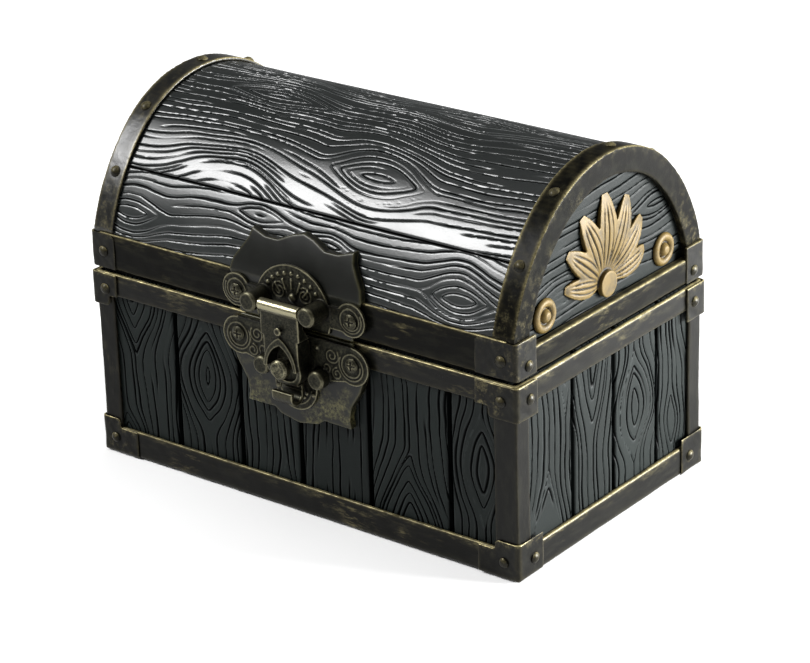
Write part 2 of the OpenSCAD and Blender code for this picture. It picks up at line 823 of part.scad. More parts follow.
module vault_boards() {
    color("#24282a") difference() {
        lid_prism(board_in, panel_in, lid_z);
        lid_prism(lid_wall_in, 0, lid_z - over);
        for (s = [-1, 1]) board_joint(place_turn(s * board_share));
        latch_screw_holes();
        hinge_screw_holes();
    }
}

module lid_band() {
    color("#2c2a24") difference() {
        union() {
            block(band_in, groove_z, end_band_z);
            intersection() {
                block(band_in, groove_z, spring_z);
                plain_block(panel_in, 0, groove_z, spring_z);
            }
        }
        lid_prism(board_in, panel_in, lid_z - over);
        bracket_rivet_holes(lid_row);
        latch_screw_holes();
        hinge_screw_holes();
    }
}

// Outline of a lid bracket with its top inner corner cut off
module clipped_outline(w, h) {
    polygon([[-w, -h], [-w, -lid_bracket_cut], [lid_bracket_cut - w, 0], [over, 0], [over, -h]]);
}

module lid_brackets() {
    color("#4a4030") four_corners() difference() {
        intersection() {
            bracket_prisms(spring_z, 0, bracket_end_w) {
                clipped_outline($left ? left_bracket_w : bracket_front_w, lid_band_h);
                translate([0, lid_end_band_h - lid_band_h]) clipped_outline(bracket_end_w, lid_end_band_h);
            }
            block(lid_bracket_in, groove_z, spring_z);
        }
        block(band_in, 0, end_band_z);
        plain_block(flange_in, band_in, 0, spring_z + over);
        bracket_rivet_holes(lid_row);
    }
}

module lid_rivets() {
    color("#6b5b3c") bracket_rivets(lid_row);
}

module stud_places(shares) {
    for (share = shares) {
        turn = place_turn(share);
        p = vault_point(turn, 0);
        translate([half_l - flange_in - hoop_w / 2, p[0], p[1]]) rotate([-turn, 0, 0]) children();
    }
}

// Setback of the hoops' feet from the face of the lid's band
hoop_foot_in = 0.2;

// Hoop of angle section at the right end, a strap over the vault and a flange on the end
module hoop(shares) {
    difference() {
        along_x(half_l - flange_in - hoop_w, half_l - flange_in) lid_section(0, end_band_z, hoop_foot_in);
        along_x(0, half_l - panel_in) lid_section(board_in, end_band_z - over);
        along_x(0, half_l) lid_section(flange_w, end_band_z - over);
        translate([0, -half_d, 0]) cube([half_l - panel_in, chest_d, spring_z]);
        stud_places(shares) translate([0, 0, -hoop_t - over]) cylinder(r = shank_r, h = hoop_t + 2 * over);
    }
}

module right_hoop() {
    color("#2c2a24") hoop(right_stud_shares);
}

module left_hoop() {
    color("#2c2a24") mirror([1, 0, 0]) hoop(left_stud_shares);
}

module hoop_studs() {
    color("#3a362c") for (m = [0, 1]) mirror([m, 0, 0])
        stud_places(m > 0 ? left_stud_shares : right_stud_shares) rivet(stud_r, stud_h, hoop_t, shank_r);
}

module end_panel() {
    along_x(half_l - lid_end_in, half_l - panel_in) lid_section(lid_wall_in, lid_z);
}

module right_end_panel() {
    color("#2b2f31") end_panel();
}

module left_end_panel() {
    color("#2b2f31") mirror([1, 0, 0]) end_panel();
}

// Turns of the petals from upright, and their lengths and widths as shares of the middle petal's
petal_turns = [0, 26, 52, 78];
petal_shares = [[1, 1], [0.95, 0.92], [0.86, 0.86], [0.74, 0.76]];
petal_root = 1.6;
scroll_tube = 1.2;
eye_r = 1.9;
// Offset of the scrolls from the middle of the end, as a share of half the chest's depth
scroll_share = 0.62;
// Radius of the petals' dome, as a share of the one that would just reach their tips
dome_share = 0.8;
petal_l = petal_share * (chest_h - stud_h - flange_w - end_band_z);

// Pointed oval petal that rises from the origin along Y, domed towards the viewer
module petal(l, w) {
    side_r = (l * l / 4 + w * w / 4) / w;
    dome_r = (l * l / 4 + relief_h * relief_h) / (2 * relief_h) * dome_share;
    intersection() {
        linear_extrude(relief_h) intersection() {
            translate([side_r - w / 2, l / 2]) circle(side_r, $fn = 96);
            translate([w / 2 - side_r, l / 2]) circle(side_r, $fn = 96);
        }
        translate([0, l / 2, relief_h - dome_r]) sphere(dome_r, $fn = 96);
    }
}

// Palmette between two scrolls, drawn with Y up on the end panel's face
module ornament() {
    scroll_x = scroll_share * half_d;
    scroll_y = scroll_r + move_gap;
    root_y = scroll_r;
    for (s = [-1, 1], i = [0 : len(petal_turns) - 1]) if (s > 0 || i > 0)
        translate([0, root_y]) rotate([0, 0, -s * petal_turns[i]]) translate([0, petal_root])
            petal(petal_l * petal_shares[i][0], petal_w * petal_shares[i][1]);
    translate([0, root_y]) cylinder(r = eye_r + petal_root, h = relief_h);
    for (s = [-1, 1]) translate([s * scroll_x, scroll_y]) {
        rotate_extrude() translate([scroll_r - scroll_tube, 0]) intersection() {
            circle(scroll_tube);
            translate([-scroll_tube, 0]) square(2 * scroll_tube);
        }
        intersection() {
            sphere(eye_r);
            cylinder(r = eye_r, h = relief_h);
        }
    }
}

module on_end() {
    translate([half_l - panel_in, 0, end_band_z]) rotate([90, 0, 90]) children();
}

module right_ornament() {
    color("#8f7a4d") on_end() ornament();
}

module left_ornament() {
    color("#8f7a4d") mirror([1, 0, 0]) on_end() ornament();
}

knuckle_l = (hinge_w - 2 * move_gap) / 3;

// Knuckle of a hinge between two places along X
module knuckle(x0, x1, r) {
    translate([x0, 0, 0]) rotate([0, 90, 0]) cylinder(r = r, h = x1 - x0);
}

// Leaf of one side with its knuckles between the pairs of places listed
module leaf(side, spans) {
    back = -knuckle_r - move_gap;
    difference() {
        union() {
            translate([-hinge_w / 2, back, side > 0 ? leaf_off : -leaf_off - leaf_h])
                cube([hinge_w, leaf_t, leaf_h]);
            for (s = spans) {
                knuckle(s[0], s[1], knuckle_r);
                translate([s[0], back, side > 0 ? 0 : -leaf_off]) cube([s[1] - s[0], leaf_t, leaf_off]);
            }
        }
        knuckle(-hinge_w, hinge_w, side > 0 ? hinge_pin_r + pin_clear : hinge_pin_r);
    }
}

module hinge_case_leaves() {
    color("#5d5339") difference() {
        hinge_places()
            leaf(-1, [[-hinge_w / 2, knuckle_l - hinge_w / 2], [hinge_w / 2 - knuckle_l, hinge_w / 2]]);
        hinge_screw_holes();
    }
}

module hinge_lid_leaves() {
    color("#5d5339") difference() {
        hinge_places() leaf(1, [[-knuckle_l / 2, knuckle_l / 2]]);
        hinge_screw_holes();
    }
}

module hinge_pins() {
    color("#8a8064") hinge_places() knuckle(-hinge_w / 2, hinge_w / 2, hinge_pin_r);
}

module hinge_case_screws() {
    color("#8a8064") hinge_screw_places(-1) rivet(hinge_screw_r, hinge_screw_h, hinge_screw_l, shank_r);
}

module hinge_lid_screws() {
    color("#8a8064") hinge_screw_places(1) rivet(hinge_screw_r, hinge_screw_h, hinge_screw_l, shank_r);
}

case_shell();
front_planks();
back_planks();
left_planks();
right_planks();
corner_posts();
base_band();
rim_band();
foot_brackets();
rim_brackets();
case_rivets();
lower_shield();
lower_latch_plate();
lower_latch_screws();
lid_shell();
vault_boards();
lid_band();
lid_brackets();
lid_rivets();
left_hoop();
right_hoop();
hoop_studs();
left_end_panel();
right_end_panel();
left_ornament();
right_ornament();
upper_shield();
upper_latch_plate();
upper_latch_screws();
latch_pin();
latch_flap();
latch_knob();
hinge_case_leaves();
hinge_lid_leaves();
hinge_pins();
hinge_case_screws();
hinge_lid_screws();
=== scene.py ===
"""A small vaulted chest in carved black resin with gold-brushed edges and a bronze latch, on a pale stage."""
import math
from contextlib import contextmanager
from functools import partial

import bpy
import numpy as np
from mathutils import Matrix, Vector


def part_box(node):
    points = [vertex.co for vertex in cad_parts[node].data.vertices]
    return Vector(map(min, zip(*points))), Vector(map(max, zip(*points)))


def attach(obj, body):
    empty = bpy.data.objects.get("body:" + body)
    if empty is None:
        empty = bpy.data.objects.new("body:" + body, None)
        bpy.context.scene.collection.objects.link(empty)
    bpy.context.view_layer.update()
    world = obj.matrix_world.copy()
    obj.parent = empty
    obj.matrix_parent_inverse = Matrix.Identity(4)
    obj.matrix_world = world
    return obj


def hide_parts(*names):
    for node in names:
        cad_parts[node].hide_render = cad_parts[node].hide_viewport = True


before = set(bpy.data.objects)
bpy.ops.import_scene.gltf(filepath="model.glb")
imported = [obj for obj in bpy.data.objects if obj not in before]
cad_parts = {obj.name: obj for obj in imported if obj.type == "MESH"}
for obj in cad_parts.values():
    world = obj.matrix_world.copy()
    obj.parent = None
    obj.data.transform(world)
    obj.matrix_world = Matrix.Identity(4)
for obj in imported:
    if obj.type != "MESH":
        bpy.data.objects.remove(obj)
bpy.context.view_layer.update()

bl_info = {
    "name": "Vaulted chest",
    "version": (1, 0, 0),
    "blender": (4, 5, 0),
    "location": "View3D > Sidebar > Chest",
    "description": "Builds a carved, gold-brushed chest and its stage round a fixed frame",
    "category": "Object",
}

MM = 0.001

# Layout shared with the frame, in millimetres. X is the length, the front faces -Y.
SEAM_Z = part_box("case_shell")[1].z / MM
LID_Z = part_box("lid_shell")[0].z / MM
LATCH_X = (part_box("latch_pin")[0].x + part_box("latch_pin")[1].x) / 2 / MM
PLATE_Y = -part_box("latch_knob")[1].y / MM - 0.3
PLANK_GAP = 0.3
PLANK_BEVEL = 1.05
PLANK_T = 2.0
# Grooves stop under the bands, so the dense part of a plank starts and ends just behind them
BAND_LAP = 0.6
# Plank joints as shares of the chest's length and depth from its middle
FRONT_JOINT_SHARES = (-0.304, -0.148, -0.004, 0.158, 0.340)
END_JOINT_SHARES = (-0.188, 0.026, 0.260)
# The vault's three arcs: turns from upright at the ends of the crown arc and of the haunch arcs, the crown's
# radius as a share of the haunches', and the place of the board joints along a haunch
CROWN_END = 38.4
HAUNCH_START = 40.4
CROWN_SHARE = 0.731
BOARD_SHARE = 0.427
HOOP_T = 1.0
VAULT_T = 2.2
# Depth of an end panel's edge under the hoop, and the parts of it that are carved
PANEL_INSET = 3.2
PANEL_CARVED_Z = (60.0, 93.2)
PANEL_CARVED_Y = (-34.5, 34.5)
# Wide wander of the grain on the planks, the vault and the end panels
PLANK_SWAY, VAULT_SWAY, PANEL_SWAY = 0.7, 2.0, 1.2
# Width over which the long edges of the vault's boards and of the end panels round off
VAULT_SEAM, PANEL_SEAM = 0.35, 0.3
# Groove widths as shares of the planks', and the panels' groove spacing likewise
VAULT_GROOVE_SHARE, PANEL_GROOVE_SHARE, PANEL_GAP_SHARE = 0.66, 0.75, 1.1
# Lacquer of the upright boards and of the vault: mattness, sheen, and dry brushing on the lips of the
# grooves, partly a painted highlight
SATIN_LACQUER = (1.0, 0.09, 0.06)
GLOSS_LACQUER = (0.25, 0.6, 0.3)
# How the blots of gold are squeezed along X, Y and Z on a band and on a post
BAND_STREAK = (0.3, 0.3, 1.3)
POST_STREAK = (1.3, 1.3, 0.4)


class ChestSizes(bpy.types.PropertyGroup):
    """Sizes of the carving and of the cast edges."""

    groove_gap: bpy.props.FloatProperty(
        name="Groove spacing", description="Distance between two grooves of the carved grain",
        default=2.3 * MM, min=1 * MM, max=6 * MM, unit="LENGTH", precision=4)
    groove_w: bpy.props.FloatProperty(
        name="Groove width", description="Width of a groove at the surface",
        default=0.95 * MM, min=0.2 * MM, max=2 * MM, unit="LENGTH", precision=4)
    groove_d: bpy.props.FloatProperty(
        name="Groove depth", description="Depth of a groove",
        default=0.35 * MM, min=0.1 * MM, max=1 * MM, unit="LENGTH", precision=4)
    cell: bpy.props.FloatProperty(
        name="Carving cell", description="Size of the mesh cells across the grain",
        default=0.24 * MM, min=0.1 * MM, max=1 * MM, unit="LENGTH", precision=5)
    band_grit: bpy.props.FloatProperty(
        name="Band grit", description="Depth of the unevenness of the cast bands",
        default=0.1 * MM, min=0, max=0.5 * MM, unit="LENGTH", precision=5)


def linear(hex_colour):
    """The linear RGBA of an sRGB hex colour."""
    rgb = [int(hex_colour.lstrip("#")[i:i + 2], 16) / 255 for i in (0, 2, 4)]
    return tuple(c / 12.92 if c <= 0.04045 else ((c + 0.055) / 1.055) ** 2.4 for c in rgb) + (1.0,)


def colour_property(name, description, hex_colour):
    return bpy.props.FloatVectorProperty(
        name=name, description=description, default=linear(hex_colour), size=4, min=0, max=1, subtype="COLOR")


class ChestColours(bpy.types.PropertyGroup):
    """Colours of the paint and the metal."""

    lacquer: colour_property("Lacquer", "Black of the carved boards", "#101413")
    # Painted shade: the black that the depth of the grooves and board joints is coloured
    groove: colour_property("Groove", "Black in the grooves", "#010202")
    bronze: colour_property("Bronze black", "Ground colour of the bands", "#0a0a08")
    gold: colour_property("Brushed gold", "Gold brushed over the raised edges", "#b0a477")
    relief_gold: colour_property("Relief gold", "Gold on the raised ornament of the lid's ends", "#544522")
    patina: colour_property("Patina", "Dark patina of the latch", "#12130f")
    worn: colour_property("Worn bronze", "Worn metal on the latch's ridges", "#8f8a70")
    floor: colour_property("Floor", "Colour of the floor", "#fafafa")


def sizes():
    return bpy.context.scene.chest_sizes


def colours():
    return bpy.context.scene.chest_colours


# Meshes and selection

def deselect():
    if bpy.context.object and bpy.context.object.mode != "OBJECT":
        bpy.ops.object.mode_set(mode="OBJECT")
    bpy.ops.object.select_all(action="DESELECT")


def choose(*objects):
    """Selects only these objects and makes the first one active."""
    deselect()
    for thing in objects:
        thing.select_set(True)
    bpy.context.view_layer.objects.active = objects[0]
    return objects[0]


@contextmanager
def editing(obj):
    """Edit mode on one object, with all of its mesh selected."""
    choose(obj)
    bpy.ops.object.mode_set(mode="EDIT")
    bpy.ops.mesh.select_all(action="SELECT")
    yield
    bpy.ops.object.mode_set(mode="OBJECT")


def merge(obj, distance):
    """Joins the vertices that lie closer than a distance in millimetres."""
    with editing(obj):
        bpy.ops.mesh.remove_doubles(threshold=distance * MM)


def outward(obj):
    with editing(obj):
        bpy.ops.mesh.normals_make_consistent(inside=False)


def coordinates(obj):
    co = np.empty(len(obj.data.vertices) * 3)
    obj.data.vertices.foreach_get("co", co)
    return co.reshape(-1, 3)


def vertex_normals(obj):
    normals = np.empty(len(obj.data.vertices) * 3)
    obj.data.vertex_normals.foreach_get("vector", normals)
    return normals.reshape(-1, 3)


def place(obj, co):
    obj.data.vertices.foreach_set("co", np.asarray(co, float).ravel())
    obj.data.update()


def paint(obj, name, values):
    """Stores one number per vertex for the materials to read."""
    layer = obj.data.attributes.get(name) or obj.data.attributes.new(name, "FLOAT", "POINT")
    layer.data.foreach_set("value", np.asarray(values, np.float32))


def apply_modifier(obj, kind, **settings):
    modifier = obj.modifiers.new(kind.title(), kind)
    for key, value in settings.items():
        setattr(modifier, key, value)
    choose(obj)
    bpy.ops.object.modifier_apply(modifier=modifier.name)


def settle(obj, material, body, slot, *nodes):
    """Gives a finished piece its material, its body and the nodes that it stands for."""
    obj.data.materials.clear()
    obj.data.materials.append(material)
    choose(obj)
    bpy.ops.object.shade_smooth_by_angle(angle=math.radians(50))
    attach(obj, body)
    if nodes:
        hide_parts(*nodes)
    return obj


def join(name, parts):
    choose(*parts)
    if len(parts) > 1:
        bpy.ops.object.join()
    whole = bpy.context.object
    whole.name = whole.data.name = name
    return whole


# Carving: the grain is a field whose whole multiples are the grooves

# How much closer the loops inside an eye lie than the grooves outside
LOOP_CROWDING = 1.3
# How far the grooves wander off their even places, as a share of the spacing
LINE_SHIFT = 0.13


def smooth_step(low, high, x):
    t = np.clip((x - low) / (high - low), 0, 1)
    return t * t * (3 - 2 * t)


def ripple(x, y, seed):
    """Smooth noise between about -1 and 1, from a few waves whose directions come from the seed."""
    dice = np.random.RandomState(seed)
    total = np.zeros(np.broadcast(x, y).shape)
    for share in (1.0, 0.7, 0.5, 0.35):
        turn, phase = dice.uniform(0, 2 * math.pi, 2)
        pitch = dice.uniform(0.8, 1.6) / share
        total = total + share * np.sin(pitch * (x * math.cos(turn) + y * math.sin(turn)) + phase)
    return total / 1.7


def carve(across, along, eyes, calm, seed, gap, width, sway):
    """The grain on a grid of places in millimetres: the field, each groove's half width in it and strength.

    An eye is (across, along, half its width, half its length): loops fill it and the grain bends round it.
    A calm spot is given the same way and has hardly a groove. The sway is the wide wander of the grain.
    """
    u = across + sway * ripple(across / 17, along / 24, seed)
    u = u + 0.14 * ripple(across / 2, along / 3.2, seed + 1)
    u = u + 0.4 * ripple(across / 6, along / 8, seed + 7)
    v = along + 1.2 * ripple(across / 6, along / 11, seed + 2)
    field = u.copy()
    for eye_u, eye_v, half_w, half_l in eyes:
        x = (u - eye_u) / half_w
        bulge = np.clip(1 - ((v - eye_v) / half_l) ** 2, 0, None) ** 2
        field = field - np.sign(x) * half_w * bulge * np.exp(-np.clip(np.abs(x) - bulge, 0, None) / 1.5)
    for eye_u, eye_v, half_w, half_l in eyes:
        x = np.sqrt(((u - eye_u) / half_w) ** 2 + 0.006) - 0.07
        bulge = np.clip(1 - ((v - eye_v) / half_l) ** 2, 0, None) ** 2
        field = np.where(x < bulge, eye_u - (bulge - x) * half_w * LOOP_CROWDING, field)
    phase = (field - (eyes[0][0] if eyes else 0)) / gap
    # The ridges between the grooves differ in width
    phase = phase + LINE_SHIFT * (np.sin(2.3 * phase + seed) + 0.8 * np.sin(3.9 * phase + 2 * seed))
    steep = np.hypot(np.gradient(phase, across[0], axis=1), np.gradient(phase, along[:, 0], axis=0))
    steep = np.clip(steep, 0.45 / gap, 3 / gap)
    bare = np.zeros(phase.shape)
    for spot_u, spot_v, half_w, half_l in calm:
        away = np.hypot((across - spot_u) / half_w, (along - spot_v) / half_l)
        bare = np.maximum(bare, 1 - smooth_step(0.6, 1.1, away))
    # A groove swells, thins and breaks off along its way, as a hand-cut one does
    line = np.round(phase)
    swell = ripple(line * 3.7 + across / 30, along / 13 + line * 1.9, seed + 3)
    strength = smooth_step(-0.95, -0.35, swell - 0.9 * bare)
    strength = strength * smooth_step(0.3, 0.6, 1 / steep / width / 2)
    half_width = width / 2 * np.clip(0.8 + 0.45 * ripple(line * 5.1, along / 6, seed + 4), 0.35, 1.4)
    return phase, np.minimum(half_width * steep, 0.45), strength, steep


def stations(low, high, dense_low, dense_high, cell):
    """Places along one side of a board: its two ends and an even run between the dense marks."""
    count = max(3, int(round((dense_high - dense_low) / cell)) + 1)
    run = np.linspace(dense_low, dense_high, count)
    if low < dense_low - 1e-6:
        run = np.concatenate([[low], run])
    if high > dense_high + 1e-6:
        run = np.concatenate([run, [high]])
    return run


def board(name, across, along, surface, thickness, eyes, calm, seed, gap, width, sway, seam, strips=1):
    """One carved board. surface(across, along, height) gives places in millimetres; across is the first axis.

    The mesh holds the broad shape of the grooves and the material cuts their fine lines, both from one field.
    The board's long edges round off over the seam's width. A bowed board is closed behind by several strips.
    """
    bpy.ops.mesh.primitive_grid_add(
        x_subdivisions=len(across) - 1, y_subdivisions=len(along) - 1, size=1, location=(0, 0, 0))
    piece = bpy.context.object
    piece.name = piece.data.name = name
    bpy.ops.object.mode_set(mode="EDIT")
    bpy.ops.mesh.select_all(action="SELECT")
    bpy.ops.mesh.region_to_loop()
    bpy.ops.mesh.extrude_edges_move(TRANSFORM_OT_translate={"value": (0, 0, -1)})
    bpy.ops.mesh.edge_face_add()
    for i in range(1, strips):
        column = round(i * (len(across) - 1) / strips)
        bpy.ops.mesh.bisect(plane_co=(column / (len(across) - 1) - 0.5, 0, 0), plane_no=(1, 0, 0))
        bpy.ops.mesh.select_all(action="SELECT")
        bpy.ops.mesh.select_mode(type="FACE")
        bpy.ops.object.mode_set(mode="OBJECT")
        for face in piece.data.polygons:
            face.select = face.center.z < -0.99
        bpy.ops.object.mode_set(mode="EDIT")
    bpy.ops.object.mode_set(mode="OBJECT")
    unit = coordinates(piece)
    if len(unit) != len(across) * len(along) + 2 * (len(across) + len(along)) - 4:
        raise RuntimeError(f"{name} has {len(unit)} vertices")
    col = np.rint((unit[:, 0] + 0.5) * (len(across) - 1)).astype(int)
    row = np.rint((unit[:, 1] + 0.5) * (len(along) - 1)).astype(int)
    back = unit[:, 2] < -0.5
    u, v = np.meshgrid(across, along)
    phase, half, strength, steep = carve(u, v, eyes, calm, seed, gap, width, sway)
    broad = np.maximum(half, 1.2 * sizes().cell / MM * steep)
    depth = strength * (1 - smooth_step(0, 1, np.abs(phase - np.round(phase)) / broad))
    edge = np.minimum(u - across[0], across[-1] - u)
    lip = 1 - smooth_step(0, seam, edge)
    crown = 0.12 * ripple(u / 6, v / 14, seed + 6)
    height = -sizes().groove_d / MM * depth - 0.8 * seam * lip + crown * 0.5 - 0.06
    height = np.minimum(height, 0)
    x, y, z = surface(u[row, col], v[row, col], np.where(back, -thickness, height[row, col]))
    place(piece, np.stack([x, y, z], axis=1) * MM)
    paint(piece, "grain", phase[row, col])
    paint(piece, "groove_half", half[row, col])
    paint(piece, "groove_strength", np.where(back, 0, strength[row, col]))
    paint(piece, "seam", np.where(back, 1, smooth_step(0.1, 0.6, lip)[row, col]))
    paint(piece, "tone", np.full(len(unit), np.random.RandomState(seed + 9).uniform(-1, 1)))
    return piece


def wall_surface(origin, run, out):
    """Flat face in the frame: across goes along run, along goes up, and height goes out."""
    origin, run, out = (np.array(v, float) for v in (origin, run, out))

    def surface(across, along, height):
        flat = [origin[i] + across * run[i] + height * out[i] for i in range(3)]
        return flat[0], flat[1], flat[2] + along

    return surface


# Eyes of each plank, as shares: across the plank from its middle, height up the case's planks,
# and half the width and half the height as shares of the plank's own
FRONT_EYE_SHARES = (
    [(-0.1, 1.06, 0.6, 0.52), (-0.55, -0.05, 0.3, 0.3)],
    [(-0.02, 0.56, 0.72, 0.46)],
    [(0.5, -0.35, 0.4, 0.5)],
    [(-0.9, 1.3, 0.5, 0.6)],
    [(0.05, -0.1, 0.72, 0.62), (0.1, 1.5, 0.6, 0.62)],
    [(0.05, 0.52, 0.5, 0.42)],
)
RIGHT_EYE_SHARES = (
    [(0.0, -0.12, 0.62, 0.6), (0.62, 1.3, 0.3, 0.62)],
    [(0.0, 1.12, 0.7, 0.78)],
    [(-0.05, 0.52, 0.7, 0.42)],
    [(0.75, 0.95, 0.5, 0.36), (-0.2, 0.25, 0.35, 0.28)],
)


def case_wall(name, origin, run, out, edges, eye_shares, seed):
    """A row of carved planks on one side of the case."""
    z0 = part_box("base_band")[1].z / MM - BAND_LAP
    z1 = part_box("rim_band")[0].z / MM + BAND_LAP
    surface = wall_surface(origin, run, out)
    cell = sizes().cell / MM
    planks = []
    for i in range(len(edges) - 1):
        a = edges[i] + (PLANK_GAP / 2 if i else 0)
        b = edges[i + 1] - (PLANK_GAP / 2 if i < len(edges) - 2 else 0)
        across = stations(a, b, a, b, cell)
        along = stations(0, SEAM_Z, z0, z1, 2 * cell)
        half_w, half_h = (b - a) / 2, z1 - z0
        eyes = [
            ((a + b) / 2 + u * half_w, z0 + v * half_h, w * half_w, h * half_h)
            for u, v, w, h in eye_shares[i]]
        planks.append(board(
            f"{name}_{i}", across, along, surface, PLANK_T, eyes, [], seed + 11 * i,
            sizes().groove_gap / MM, sizes().groove_w / MM, PLANK_SWAY, PLANK_BEVEL))
    wall = join(name, planks)
    outward(wall)
    return wall


class CHEST_OT_case_planks(bpy.types.Operator):
    """Carves the upright planks on the four sides of the case"""

    bl_idname = "chest.case_planks"
    bl_label = "Case planks"

    def execute(self, context):
        material = finished("carved_black_lacquer", carved_lacquer, *SATIN_LACQUER)
        low, high = (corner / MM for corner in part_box("front_planks"))
        end_low, end_high = (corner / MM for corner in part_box("right_planks"))
        length = 2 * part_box("rim_brackets")[1].x / MM
        depth = 2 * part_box("rim_brackets")[1].y / MM
        front = [low.x] + [s * length for s in FRONT_JOINT_SHARES] + [high.x]
        end = [end_low.y] + [s * depth for s in END_JOINT_SHARES] + [end_high.y]
        walls = (
            ("front_planks", (0, low.y, 0), (1, 0, 0), (0, -1, 0), front, FRONT_EYE_SHARES, 20),
            ("back_planks", (0, -low.y, 0), (-1, 0, 0), (0, 1, 0), front, FRONT_EYE_SHARES, 120),
            ("right_planks", (end_high.x, 0, 0), (0, 1, 0), (1, 0, 0), end, RIGHT_EYE_SHARES, 220),
            ("left_planks", (-end_high.x, 0, 0), (0, -1, 0), (-1, 0, 0), end, RIGHT_EYE_SHARES, 320),
        )
        for name, origin, run, out, edges, eyes, seed in walls:
            wall = case_wall(f"carved_{name}", origin, run, out, edges, eyes, seed)
            settle(wall, material, "case", "carved_black_resin", name)
        return {"FINISHED"}


# The vault

class Vault:
    """The lid's three-centred arch, followed by its length from the front edge over the crown to the back."""

    def __init__(self, depth):
        spring_y = -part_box("lid_band")[0].y / MM
        spring_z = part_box("lid_band")[1].z / MM
        rise = max(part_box(hoop)[1].z for hoop in ("left_hoop", "right_hoop")) / MM - spring_z
        end, start = math.radians(CROWN_END), math.radians(HAUNCH_START)
        hip_run = CROWN_SHARE * math.sin(end) - math.sin(start)
        hip_rise = CROWN_SHARE * (1 - math.cos(end)) + math.cos(start)
        lean = math.atan2(spring_y, rise) - math.acos(
            (spring_y * hip_rise - rise * hip_run) / math.hypot(spring_y, rise))
        haunch_r = spring_y / (hip_run + math.cos(lean))
        crown_r = CROWN_SHARE * haunch_r
        self.joint = math.degrees(start + BOARD_SHARE * (math.pi / 2 - lean - start))
        self.crown_z = spring_z + rise - crown_r
        self.haunch_y = spring_y - haunch_r * math.cos(lean)
        self.haunch_z = spring_z - haunch_r * math.sin(lean)
        self.crown_r = crown_r - depth
        self.haunch_r = haunch_r - depth
        self.side_y = spring_y - depth
        foot = math.asin((self.side_y - self.haunch_y) / self.haunch_r)
        self.foot_z = self.haunch_z + self.haunch_r * math.cos(foot)
        self.upright = self.foot_z - LID_Z
        self.crown_end, self.haunch_start, self.foot = end, start, foot
        self.crown_l = self.crown_r * end
        self.haunch_l = self.haunch_r * (foot - start)
        self.half = self.upright + self.haunch_l + self.crown_l

    def way(self, turn):
        """Length from the front edge to the place whose normal leans forward by turn degrees."""
        lean = math.radians(abs(turn))
        if lean <= self.crown_end:
            left = self.crown_r * lean
        else:
            left = self.crown_l + self.haunch_r * (lean - self.haunch_start)
        return self.half - math.copysign(left, turn)

    def surface(self, across, along, height):
        """across is the way over the vault, along is X."""
        side = np.sign(across - self.half)
        left = np.abs(across - self.half)
        on_crown = left <= self.crown_l
        upright = left > self.crown_l + self.haunch_l
        haunch_turn = self.haunch_start + (left - self.crown_l) / self.haunch_r
        turn = np.where(on_crown, left / self.crown_r, haunch_turn)
        y = np.where(on_crown, (self.crown_r + height) * np.sin(turn),
                     self.haunch_y + (self.haunch_r + height) * np.sin(turn))
        z = np.where(on_crown, self.crown_z + (self.crown_r + height) * np.cos(turn),
                     self.haunch_z + (self.haunch_r + height) * np.cos(turn))
        y = np.where(upright, self.side_y + height, y)
        z = np.where(upright, self.foot_z - (left - self.crown_l - self.haunch_l), z)
        return along, side * y, z


# Eyes on the vault's boards: turn from upright (positive to the front), place along X,
# half the width and half the length, all as millimetres but the turn
CROWN_EYES = ((40, 15, 6.6, 21), (57, -30, 8, 30), (14, -30, 4, 22), (-6, 25, 4, 26), (-38, -12, 8, 24))
FRONT_EYES = ((68, 50, 4.6, 14), (66, -58, 4.4, 15), (62, -15, 2.6, 11), (63, 8, 2.4, 9))
BACK_EYES = ((-66, 34, 4.4, 18), (-64, -30, 4, 15))
# Smooth spots of the crown board, given like the eyes
CALM_SPOTS = ((50, -30, 4, 18), (53, 26, 3.8, 36), (50, 0, 4, 13))
# Eyes on an end panel: height, place along Y, half the width and half the length in millimetres
PANEL_EYES = ((69, -20, 2.8, 16), (80, 24, 3, 18))


class CHEST_OT_vault(bpy.types.Operator):
    """Carves the three boards of the lid's vault"""

    bl_idname = "chest.vault"
    bl_label = "Vault boards"

    def execute(self, context):
        vault = Vault(HOOP_T)
        end_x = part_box("vault_boards")[1].x / MM
        hoop_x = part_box("right_hoop")[0].x / MM + BAND_LAP
        band = vault.upright - BAND_LAP
        cell = sizes().cell / MM
        joint = vault.way(vault.joint)
        gap = PLANK_GAP / 2
        full = 2 * vault.half
        boards = (
            ("front", 0, joint - gap, band, joint - gap, FRONT_EYES, 0.95, 511),
            ("crown", joint + gap, full - joint - gap, joint + gap, full - joint - gap, CROWN_EYES, 0.8, 540),
            ("back", full - joint + gap, full, full - joint + gap, full - band, BACK_EYES, 0.95, 577),
        )
        material = finished("carved_black_gloss_lacquer", carved_lacquer, *GLOSS_LACQUER)
        made = []
        for name, low, high, dense_low, dense_high, eyes, spacing, seed in boards:
            across = stations(low, high, dense_low, dense_high, cell * 1.05)
            along = stations(-end_x, end_x, -hoop_x, hoop_x, cell * 1.8)
            placed = [(vault.way(turn), x, w, l) for turn, x, w, l in eyes]
            calm = [(vault.way(turn), x, w, l) for turn, x, w, l in CALM_SPOTS]
            piece = board(
                f"vault_board_{name}", across, along, vault.surface, VAULT_T, placed, calm, seed,
                sizes().groove_gap / MM * spacing, sizes().groove_w / MM * VAULT_GROOVE_SHARE,
                VAULT_SWAY, VAULT_SEAM, strips=24)
            outward(piece)
            made.append(piece)
        for piece in made:
            nodes = ["vault_boards"] if piece is made[0] else []
            settle(piece, material, "lid", "carved_black_resin", *nodes)
        return {"FINISHED"}


